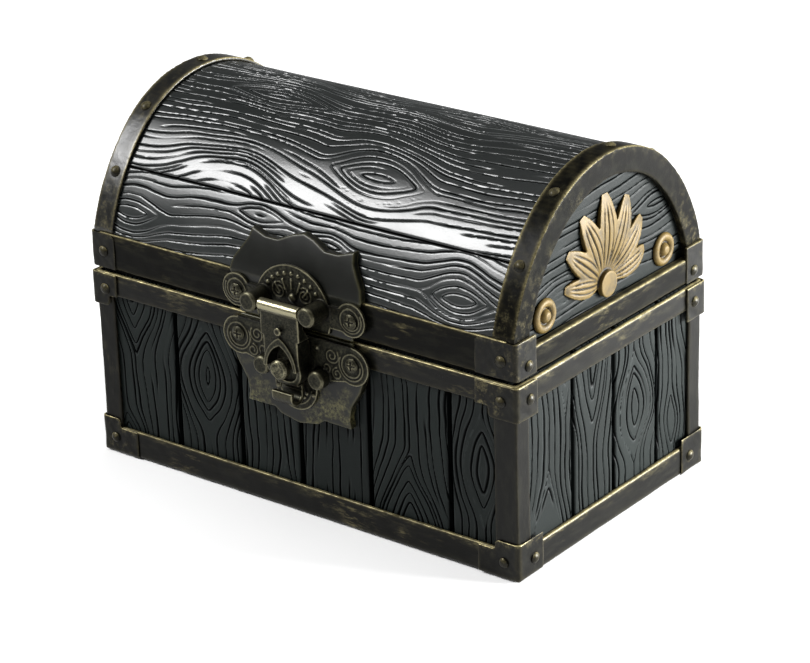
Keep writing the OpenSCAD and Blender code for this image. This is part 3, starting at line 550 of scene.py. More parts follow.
class CHEST_OT_end_panels(bpy.types.Operator):
    """Carves the arched panels at the lid's ends"""

    bl_idname = "chest.end_panels"
    bl_label = "End panels"

    def execute(self, context):
        material = finished("carved_black_lacquer", carved_lacquer, *SATIN_LACQUER)
        cell = sizes().cell / MM
        for side, name in ((1, "right_end_panel"), (-1, "left_end_panel")):
            low, high = (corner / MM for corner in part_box(name))
            vault = Vault(PANEL_INSET)
            face = side * max(abs(low.x), abs(high.x))
            across = stations(low.z, high.z, *PANEL_CARVED_Z, cell * 1.3)
            along = stations(low.y, high.y, *PANEL_CARVED_Y, cell * 2.6)

            def surface(up, wide, height, face=face, side=side, vault=vault):
                # Places above the arch slide down to it, so the panel ends on the vault's curve
                half = np.abs(wide)
                crown = vault.crown_z + np.sqrt(np.clip(vault.crown_r ** 2 - half ** 2, 0, None))
                haunch = vault.haunch_z + np.sqrt(
                    np.clip(vault.haunch_r ** 2 - (half - vault.haunch_y) ** 2, 0, None))
                top = np.where(half < vault.crown_r * math.sin(vault.crown_end), crown, haunch)
                return face + side * height, wide * side, np.minimum(up, top)

            panel = board(
                f"carved_{name}", across, along, surface, PLANK_T, PANEL_EYES, [], 700 + side * 20,
                sizes().groove_gap / MM * PANEL_GAP_SHARE, sizes().groove_w / MM * PANEL_GROOVE_SHARE,
                PANEL_SWAY, PANEL_SEAM)
            merge(panel, 0.02)
            outward(panel)
            settle(panel, material, "lid", "carved_black_resin", name)
        return {"FINISHED"}


# Casting: a copy of a CAD solid is worked over in clay-like cells, and its worn edges are found

def clay_copy(node):
    """A merged copy of a CAD node's mesh in an object of its own."""
    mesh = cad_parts[node].data.copy()
    copy = bpy.data.objects.new(f"clay_{node}", mesh)
    bpy.context.scene.collection.objects.link(copy)
    mesh.materials.clear()
    merge(copy, 0.005)
    return copy


def spread(values, edges, count, rounds):
    """Averages a number per vertex with its neighbours."""
    degree = np.bincount(edges.ravel(), minlength=count) + 1
    for _ in range(rounds):
        total = values.copy()
        total += np.bincount(edges[:, 0], values[edges[:, 1]], minlength=count)
        total += np.bincount(edges[:, 1], values[edges[:, 0]], minlength=count)
        values = total / degree
    return values


# Rounds of averaging that spread the dust of gold from an edge, about a millimetre and a half in all
DUST_ROUNDS = 24


def find_wear(obj, cell):
    """Paints wear on the edges that stand out, dust beside the upper ones and painted shade in the deep
    corners.
    """
    mesh = obj.data
    count = len(mesh.vertices)
    co = coordinates(obj)
    edges = np.empty(len(mesh.edges) * 2, np.int64)
    mesh.edges.foreach_get("vertices", edges)
    edges = edges.reshape(-1, 2)
    normals = vertex_normals(obj)
    pull = np.zeros((count, 3))
    degree = np.maximum(np.bincount(edges.ravel(), minlength=count), 1)
    for axis in range(3):
        pull[:, axis] = (
            np.bincount(edges[:, 0], co[edges[:, 1], axis], minlength=count)
            + np.bincount(edges[:, 1], co[edges[:, 0], axis], minlength=count)) / degree - co[:, axis]
    bend = -(pull * normals).sum(axis=1) / cell
    bend = spread(bend, edges, count, 2)
    paint(obj, "wear", np.clip(bend * 7, 0, 1))
    # Dust of gold that the brush leaves on both sides of an upper edge
    upper = np.clip(bend * 7, 0, 1) * np.clip(normals[:, 2] * 2, 0, 1)
    paint(obj, "dust", np.clip(spread(upper, edges, count, DUST_ROUNDS) * 3, 0, 1))
    # Painted shade: the deep corners are marked to be coloured darker
    paint(obj, "grime", np.clip(-bend * 9, 0, 1))


def cast(name, nodes, cell, soften, grit=0.0, grit_size=2.5, add=(), cut=()):
    """Works copies of CAD nodes, with pieces added and cut away, into one cast form of even cells.

    The cell, and the grit's depth and size, are in millimetres, and soften is the rounds of smoothing.
    """
    parts = [clay_copy(node) for node in nodes] + list(add)
    whole = join(name, parts)
    for tool in cut:
        apply_modifier(whole, "BOOLEAN", operation="DIFFERENCE", object=tool, solver="EXACT")
        bpy.data.objects.remove(tool)
    apply_modifier(whole, "REMESH", mode="VOXEL", voxel_size=cell * MM)
    apply_modifier(whole, "SMOOTH", factor=0.5, iterations=soften)
    if grit:
        co = coordinates(whole)
        p = co / MM / grit_size
        lump = ripple(p[:, 0] + 0.7 * p[:, 1], p[:, 2] - 0.4 * p[:, 1], 31)
        lump = lump + 0.6 * ripple(2.1 * p[:, 0], 2.3 * p[:, 2] + 1.7 * p[:, 1], 32)
        place(whole, co - vertex_normals(whole) * (grit * MM * (0.5 + 0.4 * lump))[:, None])
    find_wear(whole, cell * MM)
    return whole


class CHEST_OT_bands(bpy.types.Operator):
    """Casts the bands, the corner posts and the hoops"""

    bl_idname = "chest.bands"
    bl_label = "Bands, posts and hoops"

    def execute(self, context):
        grit = sizes().band_grit / MM
        band = finished("gold_brushed_bronze_paint", bronze_paint, gold_share=0.3, streak=BAND_STREAK)
        dark = finished(
            "dark_band_bronze_paint", bronze_paint, gold_share=0.22, streak=BAND_STREAK, gloss=0.04)
        # Painted light: the two hoops are lit and shaded copies of one paint, the left glossier with more
        # gold at its foot
        glossy = finished(
            "glossy_hoop_bronze_paint", bronze_paint, gold_share=0.12, foot_gold=1.0, gloss=0.4)
        dull = finished(
            "dull_hoop_bronze_paint", bronze_paint, gold_share=0.1, foot_gold=0.7, gloss=0.03)
        post = finished("plain_bronze_paint", bronze_paint, gold_share=0.15, streak=POST_STREAK)
        for node, body, cell, material in (
                ("base_band", "case", 0.4, band), ("rim_band", "case", 0.4, band),
                ("corner_posts", "case", 0.35, post), ("lid_band", "lid", 0.42, dark),
                ("left_hoop", "lid", 0.36, glossy), ("right_hoop", "lid", 0.36, dull)):
            piece = cast(f"cast_{node}", [node], cell, soften=5, grit=grit, grit_size=4.0)
            settle(piece, material, body, "dark_bronze_resin", node)
        return {"FINISHED"}


class CHEST_OT_brackets(bpy.types.Operator):
    """Casts the corner brackets and their rivets, and the hoops' studs"""

    bl_idname = "chest.brackets"
    bl_label = "Brackets, rivets and studs"

    def execute(self, context):
        gold = finished("mottled_gold_paint", bronze_paint, gold_share=0.47)
        stud = finished("stud_bronze_paint", bronze_paint, gold_share=0.3)
        grit = sizes().band_grit / MM
        for node, body, cell, material, slot in (
                ("foot_brackets", "case", 0.26, gold, "gold_brushed_resin"),
                ("rim_brackets", "case", 0.26, gold, "gold_brushed_resin"),
                ("lid_brackets", "lid", 0.26, gold, "gold_brushed_resin"),
                ("case_rivets", "case", 0.16, gold, "gold_brushed_resin"),
                ("lid_rivets", "lid", 0.16, gold, "gold_brushed_resin"),
                ("hoop_studs", "lid", 0.16, stud, "dark_bronze_resin")):
            piece = cast(f"cast_{node}", [node], cell, soften=5, grit=grit * 1.5, grit_size=2.2)
            settle(piece, material, body, slot, node)
        return {"FINISHED"}


class CHEST_OT_shields(bpy.types.Operator):
    """Casts the two halves of the shield behind the latch"""

    bl_idname = "chest.shields"
    bl_label = "Shields"

    def execute(self, context):
        material = finished("burnished_black_paint", shield_paint)
        for node, body in (("upper_shield", "lid"), ("lower_shield", "case")):
            piece = cast(f"cast_{node}", [node], 0.24, soften=8, grit=0.05, grit_size=5.0)
            settle(piece, material, body, "shield_resin", node)
        return {"FINISHED"}


# Ridges laid on the latch plates, as round wires sunk to half their depth

def wire(points, radius):
    """A mesh tube through places in millimetres."""
    curve = bpy.data.curves.new("wire", "CURVE")
    curve.dimensions = "3D"
    curve.bevel_depth = radius * MM
    curve.bevel_resolution = 2
    curve.use_fill_caps = True
    spline = curve.splines.new("POLY")
    spline.points.add(len(points) - 1)
    spline.points.foreach_set("co", [c for p in points for c in (p[0] * MM, p[1] * MM, p[2] * MM, 1)])
    obj = bpy.data.objects.new("wire", curve)
    bpy.context.scene.collection.objects.link(obj)
    choose(obj)
    bpy.ops.object.convert(target="MESH")
    return bpy.context.object


def spiral(x, z, y, outer, inner, turns, start, hand, radius, steps=44):
    """A scroll on an upright face at y, wound from outer to inner."""
    points = []
    for i in range(steps + 1):
        t = i / steps
        r = outer + (inner - outer) * t
        a = math.radians(start) + hand * 2 * math.pi * turns * t
        points.append((x + r * math.cos(a), y, z + r * math.sin(a)))
    return wire(points, radius)


def bead(x, z, y, radius, flat=0.6):
    bpy.ops.mesh.primitive_uv_sphere_add(
        segments=14, ring_count=8, radius=radius * MM, location=(x * MM, y * MM, z * MM))
    ball = bpy.context.object
    ball.scale = (1, flat, 1)
    bpy.ops.object.transform_apply(location=True, rotation=True, scale=True)
    return ball


def raise_rim(piece, y, width, depth):
    """Sinks the front face of a plate inside a narrow rim."""
    choose(piece)
    mesh = piece.data
    for kind in (mesh.vertices, mesh.edges, mesh.polygons):
        kind.foreach_set("select", np.zeros(len(kind), bool))
    for face in mesh.polygons:
        face.select = face.normal.y < -0.99 and abs(face.center.y - y * MM) < 0.02 * MM
    bpy.ops.object.mode_set(mode="EDIT")
    bpy.ops.mesh.select_mode(type="FACE")
    bpy.ops.mesh.inset(thickness=width * MM, depth=-depth * MM, use_even_offset=True)
    bpy.ops.object.mode_set(mode="OBJECT")


# How deep the ridges are sunk, and the height of the flap's barrel, which is painted bright as a highlight
WIRE_SINK = 0.12
BARREL_H = 3.4
# The right one of each pair of scrolls: place from the latch's middle and over the seam, outer and inner
# radius, turns, the angle where it starts, the way it winds and the wire's radius
LOWER_SCROLLS = (
    (18.6, -6, 4.1, 2.7, 1.6, 150, 1, 0.22), (12.2, -4.4, 2.3, 0.5, 1.7, 40, -1, 0.21),
    (10.4, -8.1, 1.5, 0.4, 1.3, 200, 1, 0.2), (13.8, -9.0, 1.7, 0.5, 1.4, 90, 1, 0.2))
UPPER_SCROLLS = (
    (18.6, 6.6, 3.6, 2.5, 1.5, 30, -1, 0.22), (4.2, 9.7, 2.6, 0.5, 1.9, 180, -1, 0.22),
    (8.3, 7.7, 1.8, 0.5, 1.5, 0, 1, 0.2))
# Centres of the lower plate's bowl and of the upper plate's fan, over the seam
BOWL_UP = -15.4
FAN_UP = 5.1


def scroll_pairs(y, scrolls):
    """The scrolls of a plate, each with its mirror image."""
    made = []
    for x, z, outer, inner, turns, start, hand, wire_r in scrolls:
        for s, turn in ((-1, 180 - start), (1, start)):
            made.append(spiral(LATCH_X + s * x, SEAM_Z + z, y, outer, inner, turns, turn, s * hand, wire_r))
    return made


def bead_arc(y, up, arc_r, first, sweep, count, radius):
    """Beads on an arc of so many degrees round a centre on the latch's middle line."""
    turns = [math.radians(first + sweep * i / (count - 1)) for i in range(count)]
    return [bead(LATCH_X + arc_r * math.cos(a), SEAM_Z + up + arc_r * math.sin(a), y, radius) for a in turns]


def lower_relief(y):
    """Scrolls, four beads, and a bowl with a row of beads in it."""
    made = scroll_pairs(y, LOWER_SCROLLS)
    for x, z in ((7.4, -3.2), (5.8, -17.0)):
        made += [bead(LATCH_X + s * x, SEAM_Z + z, y, 0.7) for s in (-1, 1)]
    made.append(spiral(LATCH_X, SEAM_Z + BOWL_UP, y, 5.2, 5.2, 0.46, 188, 1, 0.22))
    return made + bead_arc(y, BOWL_UP, 3.9, 205, 130, 7, 0.55)


def upper_relief(y):
    """Scrolls, and a fan of five rays over a bead, under an arc of beads."""
    made = scroll_pairs(y, UPPER_SCROLLS) + bead_arc(y, FAN_UP, 9.9, 25, 130, 11, 0.62)
    z = SEAM_Z + FAN_UP
    for i in range(5):
        a = math.radians(50 + 80 * i / 4)
        made.append(wire([(LATCH_X + r * math.cos(a), y, z + r * math.sin(a)) for r in (5.6, 7.2, 8.6)], 0.4))
    return made + [bead(LATCH_X, z + 3.4, y, 1.1)]


def cross_cuts(node, radius, depth):
    """Bars that cut a cross into the front of each screw head of a node."""
    co = coordinates(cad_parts[node]) / MM
    face_y = co[:, 1].min()
    tops = co[co[:, 1] < face_y + 0.5][:, (0, 2)]
    centres = []
    for top in tops:
        if all(np.hypot(*(top - centre)) > 3 * radius for centre in centres):
            near = tops[np.hypot(*(tops - top).T) < 2.5 * radius]
            centres.append((near.min(axis=0) + near.max(axis=0)) / 2)
    bars = []
    for x, z in centres:
        for size in ((1.3 * radius, 0.3 * radius), (0.3 * radius, 1.3 * radius)):
            bpy.ops.mesh.primitive_cube_add(size=1, location=(x * MM, face_y * MM, z * MM))
            bar = bpy.context.object
            bar.scale = (size[0] * MM, 2 * depth * MM, size[1] * MM)
            bpy.ops.object.transform_apply(location=True, rotation=True, scale=True)
            bars.append(bar)
    return bars


class CHEST_OT_latch(bpy.types.Operator):
    """Casts the latch: two plates with scrolls, the flap, its knob and pin, and the screws"""

    bl_idname = "chest.latch"
    bl_label = "Latch"

    def execute(self, context):
        bronze = finished("antique_cast_bronze", antique_bronze, speck_share=0.22, ridge_share=0.75)
        barrel_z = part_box("latch_flap")[1].z - BARREL_H * MM
        # The flap's barrel is painted bright: a painted highlight
        rubbed = finished(
            "rubbed_cast_bronze", antique_bronze, speck_share=0.22, ridge_share=0.75, rubbed_above=barrel_z)
        dark = finished("dark_cast_bronze", antique_bronze, speck_share=0.3, ridge_share=0.45)
        # The knob and the pin are worn brass all over: partly real wear, partly a painted highlight
        bright = finished("worn_cast_brass", antique_bronze, speck_share=1.0, ridge_share=1.0)
        face = -PLATE_Y
        for node, body, relief in (
                ("lower_latch_plate", "case", lower_relief), ("upper_latch_plate", "lid", upper_relief)):
            base = clay_copy(node)
            raise_rim(base, face, width=0.4, depth=0.2)
            ridges = relief(face + WIRE_SINK)
            piece = cast(f"cast_{node}", [], 0.2, soften=2, grit=0.05, grit_size=1.2, add=[base] + ridges)
            settle(piece, bronze, body, "antique_bronze", node)
        flap = cast("cast_latch_flap", ["latch_flap"], 0.18, soften=3, grit=0.05, grit_size=1.5)
        settle(flap, rubbed, "flap", "antique_bronze", "latch_flap")
        knob = cast("cast_latch_knob", ["latch_knob"], 0.14, soften=2, grit=0.08, grit_size=0.8)
        settle(knob, bright, "flap", "worn_brass", "latch_knob")
        pin = cast("cast_latch_pin", ["latch_pin"], 0.16, soften=2)
        settle(pin, bright, "lid", "worn_brass", "latch_pin")
        for node, body in (("lower_latch_screws", "case"), ("upper_latch_screws", "lid")):
            bars = cross_cuts(node, radius=2.0, depth=0.5)
            screws = cast(f"cast_{node}", [node], 0.13, soften=2, grit=0.03, grit_size=1.0, cut=bars)
            settle(screws, dark, body, "worn_brass", node)
        return {"FINISHED"}


# Petals of the ornament: turns from upright, and lengths and widths as shares of the middle petal's
PETALS = tuple((side * turn, l, w) for turn, l, w in (
    (0, 1, 1), (26, 0.95, 0.92), (52, 0.86, 0.86), (78, 0.74, 0.76)) for side in ((1, -1) if turn else (1,)))
PETAL_ROOT = 1.6
PETAL_W = 7.6
# Height of the palmette's root over the ornament's lowest place
ROOT_UP = 4.3
ORNAMENT_CELL = 0.22


def engrave(piece, root_z, petal_l, face_x):
    """Cuts a midrib and two veins into every petal, from the places of the piece's own vertices."""
    co = coordinates(piece) / MM
    wide, up = co[:, 1] * math.copysign(1, face_x), co[:, 2] - root_z
    cut = np.zeros(len(co))
    for turn, length_share, width_share in PETALS:
        length, width = petal_l * length_share, PETAL_W * width_share
        lean = math.radians(turn)
        along = wide * math.sin(lean) + up * math.cos(lean) - PETAL_ROOT
        off = wide * math.cos(lean) - up * math.sin(lean)
        half = width / 2 * (1 - (2 * along / length - 1) ** 2)
        on = (along > 0) & (along < length) & (np.abs(off) < half)
        share = np.where(on, np.abs(off) / np.maximum(half, 0.1), 1)
        fade = smooth_step(0.08, 0.25, along / length) * (1 - smooth_step(0.72, 0.9, along / length))
        rib = 1 - smooth_step(0, 0.42, np.abs(off))
        vein = 1 - smooth_step(0, 0.3, np.abs(share - 0.52) * half)
        cut = np.maximum(cut, on * fade * (0.45 * rib + 0.3 * vein))
    raised = smooth_step(0.1, 0.5, np.abs(co[:, 0]) - abs(face_x))
    co[:, 0] -= math.copysign(1, face_x) * cut * raised
    place(piece, co * MM)


class CHEST_OT_ornament(bpy.types.Operator):
    """Casts the palmette and scrolls on the lid's ends, with veins cut into each petal"""

    bl_idname = "chest.ornament"
    bl_label = "End ornament"

    def execute(self, context):
        material = finished("brushed_relief_gold", relief_paint)
        for side, node in ((1, "right_ornament"), (-1, "left_ornament")):
            low, high = (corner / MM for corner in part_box(node))
            face_x = side * min(abs(low.x), abs(high.x))
            piece = cast(f"cast_{node}", [node], ORNAMENT_CELL, soften=2, grit=0.06, grit_size=1.6)
            engrave(piece, low.z + ROOT_UP, high.z - low.z - ROOT_UP - PETAL_ROOT, face_x)
            find_wear(piece, ORNAMENT_CELL * MM)
            settle(piece, material, "lid", "gold_relief_resin", node)
        return {"FINISHED"}


class CHEST_OT_plain_parts(bpy.types.Operator):
    """Finishes the solids that keep their CAD shape: the inner walls and the back hinges"""

    bl_idname = "chest.plain_parts"
    bl_label = "Inner walls and hinges"

    def execute(self, context):
        inner = finished("plain_black_resin", inner_resin)
        metal = finished("hinge_brass", hinge_brass)
        for node in ("case_shell", "lid_shell"):
            dress(node, inner)
        for node in ("hinge_case_leaves", "hinge_lid_leaves", "hinge_pins", "hinge_case_screws",
                     "hinge_lid_screws"):
            dress(node, metal)
        return {"FINISHED"}


def dress(node, material):
    """Puts a material on a CAD node without touching its mesh's shape."""
    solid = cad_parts[node]
    if not solid.material_slots:
        solid.data.materials.append(material)
    for slot in solid.material_slots:
        slot.material = material


# Materials

def add_node(tree, kind, settings=None, links=None, out=0):
    """Adds a shader node and gives one of its outputs; settings fill options and sockets, links join them."""
    made = tree.nodes.new("ShaderNode" + kind)
    for key, value in (settings or {}).items():
        if isinstance(key, int) or key in made.inputs:
            made.inputs[key].default_value = value
        else:
            setattr(made, key, value)
    for key, source in (links or {}).items():
        tree.links.new(source, made.inputs[key])
    return made.outputs[out] if made.outputs else None


def finished(name, recipe, *values, **named):
    """The material of this name, which its recipe builds the first time."""
    material = bpy.data.materials.get(name)
    if material is None:
        material = bpy.data.materials.new(name)
        material.use_nodes = True
        tree = material.node_tree
        tree.nodes.clear()
        node = partial(add_node, tree)
        recipe(node, node("TexCoord", out="Object"), *values, **named)
    return material


def close(node, settings, links, bump, bump_depth, bump_share, under=None):
    """Ends a material in one Principled shader, with a bump in millimetres over a coarser one where given."""
    joined = {"Height": bump} if under is None else {"Height": bump, "Normal": under}
    links["Normal"] = node("Bump", {"Strength": bump_share, "Distance": bump_depth * MM}, joined)
    shader = node("BsdfPrincipled", settings, links)
    node("OutputMaterial", {}, {"Surface": shader})


def carved_lacquer(node, where, matt, sheen, brushing):
    """Cast resin under black lacquer, which shines on the lips of the grooves and is dull in their depth;
    grey is painted on the lips, partly dry brushing and partly painted highlight, and the depth of the
    grooves and joints is painted near black as shade.
    """
    grain, half, strength, seam, tone = (
        node("Attribute", {"attribute_name": name}, out="Fac")
        for name in ("grain", "groove_half", "groove_strength", "seam", "tone"))
    # Distance from the middle of the nearest groove, in half widths
    shifted = node("Math", {"operation": "ADD", 1: 0.5}, {0: grain})
    share = node("Math", {"operation": "FRACT"}, {0: shifted})
    signed = node("Math", {"operation": "SUBTRACT", 1: 0.5}, {0: share})
    away = node("Math", {"operation": "ABSOLUTE"}, {0: signed})
    off = node("Math", {"operation": "DIVIDE"}, {0: away, 1: half})
    dip = node("MapRange", {"interpolation_type": "SMOOTHSTEP", "To Min": 1.0, "To Max": 0.0},
               {"Value": off})
    cut = node("Math", {"operation": "MULTIPLY"}, {0: dip, 1: strength})
    hollow = node("Math", {"operation": "MAXIMUM"}, {0: cut, 1: seam})
    # Brush clouds about 12 mm wide and grit of half a millimetre
    cloud, grit = (
        node("TexNoise", {"Scale": 1 / (size * MM), "Detail": detail, "Roughness": 0.6},
             {"Vector": where})
        for size, detail in ((12.5, 4.0), (0.556, 3.0)))
    ground = tuple(colours().lacquer)
    pale = tuple(min(1, c * 1.7) for c in ground[:3]) + (1,)
    mixed = node("Mix", {"data_type": "RGBA", 6: ground, 7: pale}, {0: cloud}, 2)
    value = node("Math", {"operation": "MULTIPLY_ADD", 1: 0.16, 2: 1.0}, {0: tone})
    toned = node("HueSaturation", {}, {"Color": mixed, "Value": value})
    # Dry brushing on the lips of the grooves, partly real paint and partly a painted highlight
    rising = node("MapRange", {"From Min": 0.5, "From Max": 0.95}, {"Value": off})
    falling = node("MapRange", {"From Min": 1.6, "From Max": 1.0}, {"Value": off})
    ring = node("Math", {"operation": "MULTIPLY"}, {0: rising, 1: falling})
    kept = node("Math", {"operation": "MULTIPLY"}, {0: ring, 1: strength})
    lip = node("Math", {"operation": "MULTIPLY", 1: brushing}, {0: kept})
    brushed = node("Mix", {"data_type": "RGBA", 7: linear("#6b7070")}, {0: lip, 6: toned}, 2)
    # Painted shade: the depth of the grooves and the rounded joints between boards is coloured near black
    black = node("MapRange", {"From Min": 0.1, "From Max": 0.6}, {"Value": hollow})
    colour = node("Mix", {"data_type": "RGBA", 7: tuple(colours().groove)},
                  {0: black, 6: brushed}, 2)
    skin = node("MapRange", {"To Min": 0.2 + 0.25 * matt, "To Max": 0.27 + 0.32 * matt},
                {"Value": cloud})
    dull = node("MapRange", {"From Min": 0.3, "From Max": 0.9}, {"Value": hollow})
    rough = node("Mix", {"data_type": "FLOAT", 3: 0.7}, {0: dull, 2: skin})
    glint = node("MapRange", {"To Min": sheen, "To Max": 0.1 * sheen}, {"Value": dull})
    height = node("Math", {"operation": "SUBTRACT", 0: 1.0}, {1: cut})
    carved = node("Bump", {"Strength": 0.8, "Distance": 0.2 * MM}, {"Height": height})
    close(node, {}, {"Base Color": colour, "Roughness": rough, "Specular IOR Level": glint},
          grit, 0.05, 0.4, carved)


# Heights between which the gold and the painted highlight on the hoops' feet fade out, in millimetres
FOOT_GOLD_LOW, FOOT_GOLD_HIGH = 70, 84


def bronze_paint(node, where, gold_share, streak=(1, 1, 1), foot_gold=0.0, gloss=0.1):
    """Bronze-black paint on cast resin, with gold dry-brushed over upper edges and in clusters on the faces.

    The streak squeezes the blots of gold, so a small number draws them out along that axis. The foot gold is
    rubbed gold on the hoops' feet and partly a painted highlight.
    """
    wear, dust, grime = (
        node("Attribute", {"attribute_name": name}, out="Fac")
        for name in ("wear", "dust", "grime"))
    normal = node("NewGeometry", out="Normal")
    rise = node("SeparateXYZ", {}, {"Vector": normal}, "Z")
    drawn = node("VectorMath", {"operation": "MULTIPLY", 1: streak}, {0: where})
    # Clusters of gold about 15 mm wide, blots of 2.4 mm and flecks of two thirds of a millimetre
    cloud, blot, fleck = (
        node("TexNoise", {"Scale": 1 / (size * MM), "Detail": detail, "Roughness": rough},
             {"Vector": at})
        for size, detail, rough, at in (
            (15.4, 3.0, 0.5, where), (2.38, 6.0, 0.65, drawn), (0.667, 4.0, 0.7, drawn)))
    near = node("MapRange", {
        "From Min": 0.62 - 0.3 * gold_share, "From Max": 0.8 - 0.25 * gold_share}, {"Value": cloud})
    near = node("Math", {"operation": "MAXIMUM"}, {0: near, 1: dust})
    if foot_gold:
        # Gold low on the hoops: partly rubbed gold, partly a painted highlight
        up = node("SeparateXYZ", {}, {"Vector": where}, "Z")
        foot = node("MapRange", {
            "From Min": FOOT_GOLD_HIGH * MM, "From Max": FOOT_GOLD_LOW * MM, "To Max": foot_gold},
            {"Value": up})
        near = node("Math", {"operation": "MAXIMUM"}, {0: near, 1: foot})
    patch = node("MapRange", {"From Min": 0.48, "From Max": 0.62}, {"Value": blot})
    broken = node("MapRange", {"From Min": 0.4, "From Max": 0.6}, {"Value": fleck})
    rubbed = node("Math", {"operation": "MULTIPLY"}, {0: patch, 1: near})
    thin = node("Math", {"operation": "MULTIPLY"}, {0: rubbed, 1: broken})
    soft = node("Math", {"operation": "MULTIPLY", 1: 0.05 + 0.75 * gold_share}, {0: thin})
    upper = node("MapRange", {
        "From Min": 0.15, "From Max": 0.6, "To Min": 0.03 + 0.4 * gold_share ** 2}, {"Value": rise})
    edge = node("Math", {"operation": "MULTIPLY"}, {0: wear, 1: upper})
    worn = node("Math", {"operation": "MULTIPLY_ADD", 1: 0.6, 2: 0.4}, {0: broken})
    strong = node("Math", {"operation": "MULTIPLY"}, {0: edge, 1: worn})
    gold_at = node("Math", {"operation": "MAXIMUM", "use_clamp": True}, {0: soft, 1: strong})
    ground = node("Mix", {"data_type": "RGBA", 6: tuple(colours().bronze), 7: linear("#12120e")},
                  {0: patch}, 2)
    golden = node("Mix", {"data_type": "RGBA", 7: tuple(colours().gold)},
                  {0: gold_at, 6: ground}, 2)
    # Painted shade: deep creases are mixed towards black
    colour = node("Mix", {"data_type": "RGBA", 7: linear("#030303")}, {0: grime, 6: golden}, 2)
    rough = node("MapRange", {"To Min": 0.22, "To Max": 0.4}, {"Value": blot})
    shine = node("Math", {"operation": "MULTIPLY", 1: 0.5}, {0: gold_at})
    close(node, {"Specular IOR Level": gloss}, {"Base Color": colour, "Roughness": rough, "Metallic": shine},
          blot, 0.16, 0.4)


def relief_paint(node, where):
    """Old gold brushed over black on a raised ornament, thick on the ridges and worn off between them."""
    wear, grime = (
        node("Attribute", {"attribute_name": name}, out="Fac") for name in ("wear", "grime"))
    # Clouds of brushwork 4 mm wide and flecks of 0.6 mm
    cloud, fleck = (
        node("TexNoise", {"Scale": 1 / (size * MM), "Detail": detail, "Roughness": rough},
             {"Vector": where})
        for size, detail, rough in ((3.85, 5.0, 0.6), (0.588, 4.0, 0.7)))
    cover = node("MapRange", {"From Min": 0.36, "From Max": 0.62, "To Min": 0.25}, {"Value": cloud})
    lifted = node("Math", {"operation": "ADD", "use_clamp": True}, {0: cover, 1: wear})
    ground = node("Mix", {
        "data_type": "RGBA", 6: linear("#2a2519"), 7: tuple(colours().relief_gold)}, {0: lifted}, 2)
    # Painted shade: deep creases are mixed towards black
    colour = node("Mix", {"data_type": "RGBA", 7: linear("#0b0a08")}, {0: grime, 6: ground}, 2)
    close(node, {"Roughness": 0.5, "Specular IOR Level": 0.2, "Metallic": 0.15}, {"Base Color": colour},
          fleck, 0.06, 0.4)


# Heights between which the gold patches on the lower shield fade out, in millimetres
SHIELD_GOLD_LOW, SHIELD_GOLD_HIGH = 31, 45


def shield_paint(node, where):
    """Black paint burnished to a gloss on smooth cast resin, rubbed bright low down and lighter on the
    bevels, partly wear and partly a painted sheen.
    """
    wear = node("Attribute", {"attribute_name": "wear"}, out="Fac")
    # Patches 9 mm wide and flecks of 0.8 mm
    cloud, fleck = (
        node("TexNoise", {"Scale": 1 / (size * MM), "Detail": 4.0, "Roughness": rough},
             {"Vector": where})
        for size, rough in ((9.09, 0.6), (0.769, 0.7)))
    up = node("SeparateXYZ", {}, {"Vector": where}, "Z")
    low = node("MapRange", {"From Min": SHIELD_GOLD_HIGH * MM, "From Max": SHIELD_GOLD_LOW * MM},
               {"Value": up})
    patch = node("MapRange", {"From Min": 0.5, "From Max": 0.68}, {"Value": cloud})
    rubbed = node("Math", {"operation": "MULTIPLY"}, {0: low, 1: patch})
    broken = node("MapRange", {"From Min": 0.4, "From Max": 0.6}, {"Value": fleck})
    dusted = node("Math", {"operation": "MULTIPLY"}, {0: rubbed, 1: broken})
    # Wear on the bevels, partly a painted sheen
    edge = node("Math", {"operation": "MULTIPLY", 1: 0.4}, {0: wear})
    gold_at = node("Math", {"operation": "MAXIMUM", "use_clamp": True}, {0: dusted, 1: edge})
    ground = node("Mix", {"data_type": "RGBA", 6: linear("#090a08"), 7: linear("#12130f")},
                  {0: cloud}, 2)
    colour = node("Mix", {"data_type": "RGBA", 7: linear("#6a6642")}, {0: gold_at, 6: ground}, 2)
    rough = node("MapRange", {"To Min": 0.26, "To Max": 0.42}, {"Value": cloud})
    close(node, {"Metallic": 0.1, "Specular IOR Level": 0.25}, {"Base Color": colour, "Roughness": rough},
          fleck, 0.04, 0.3)


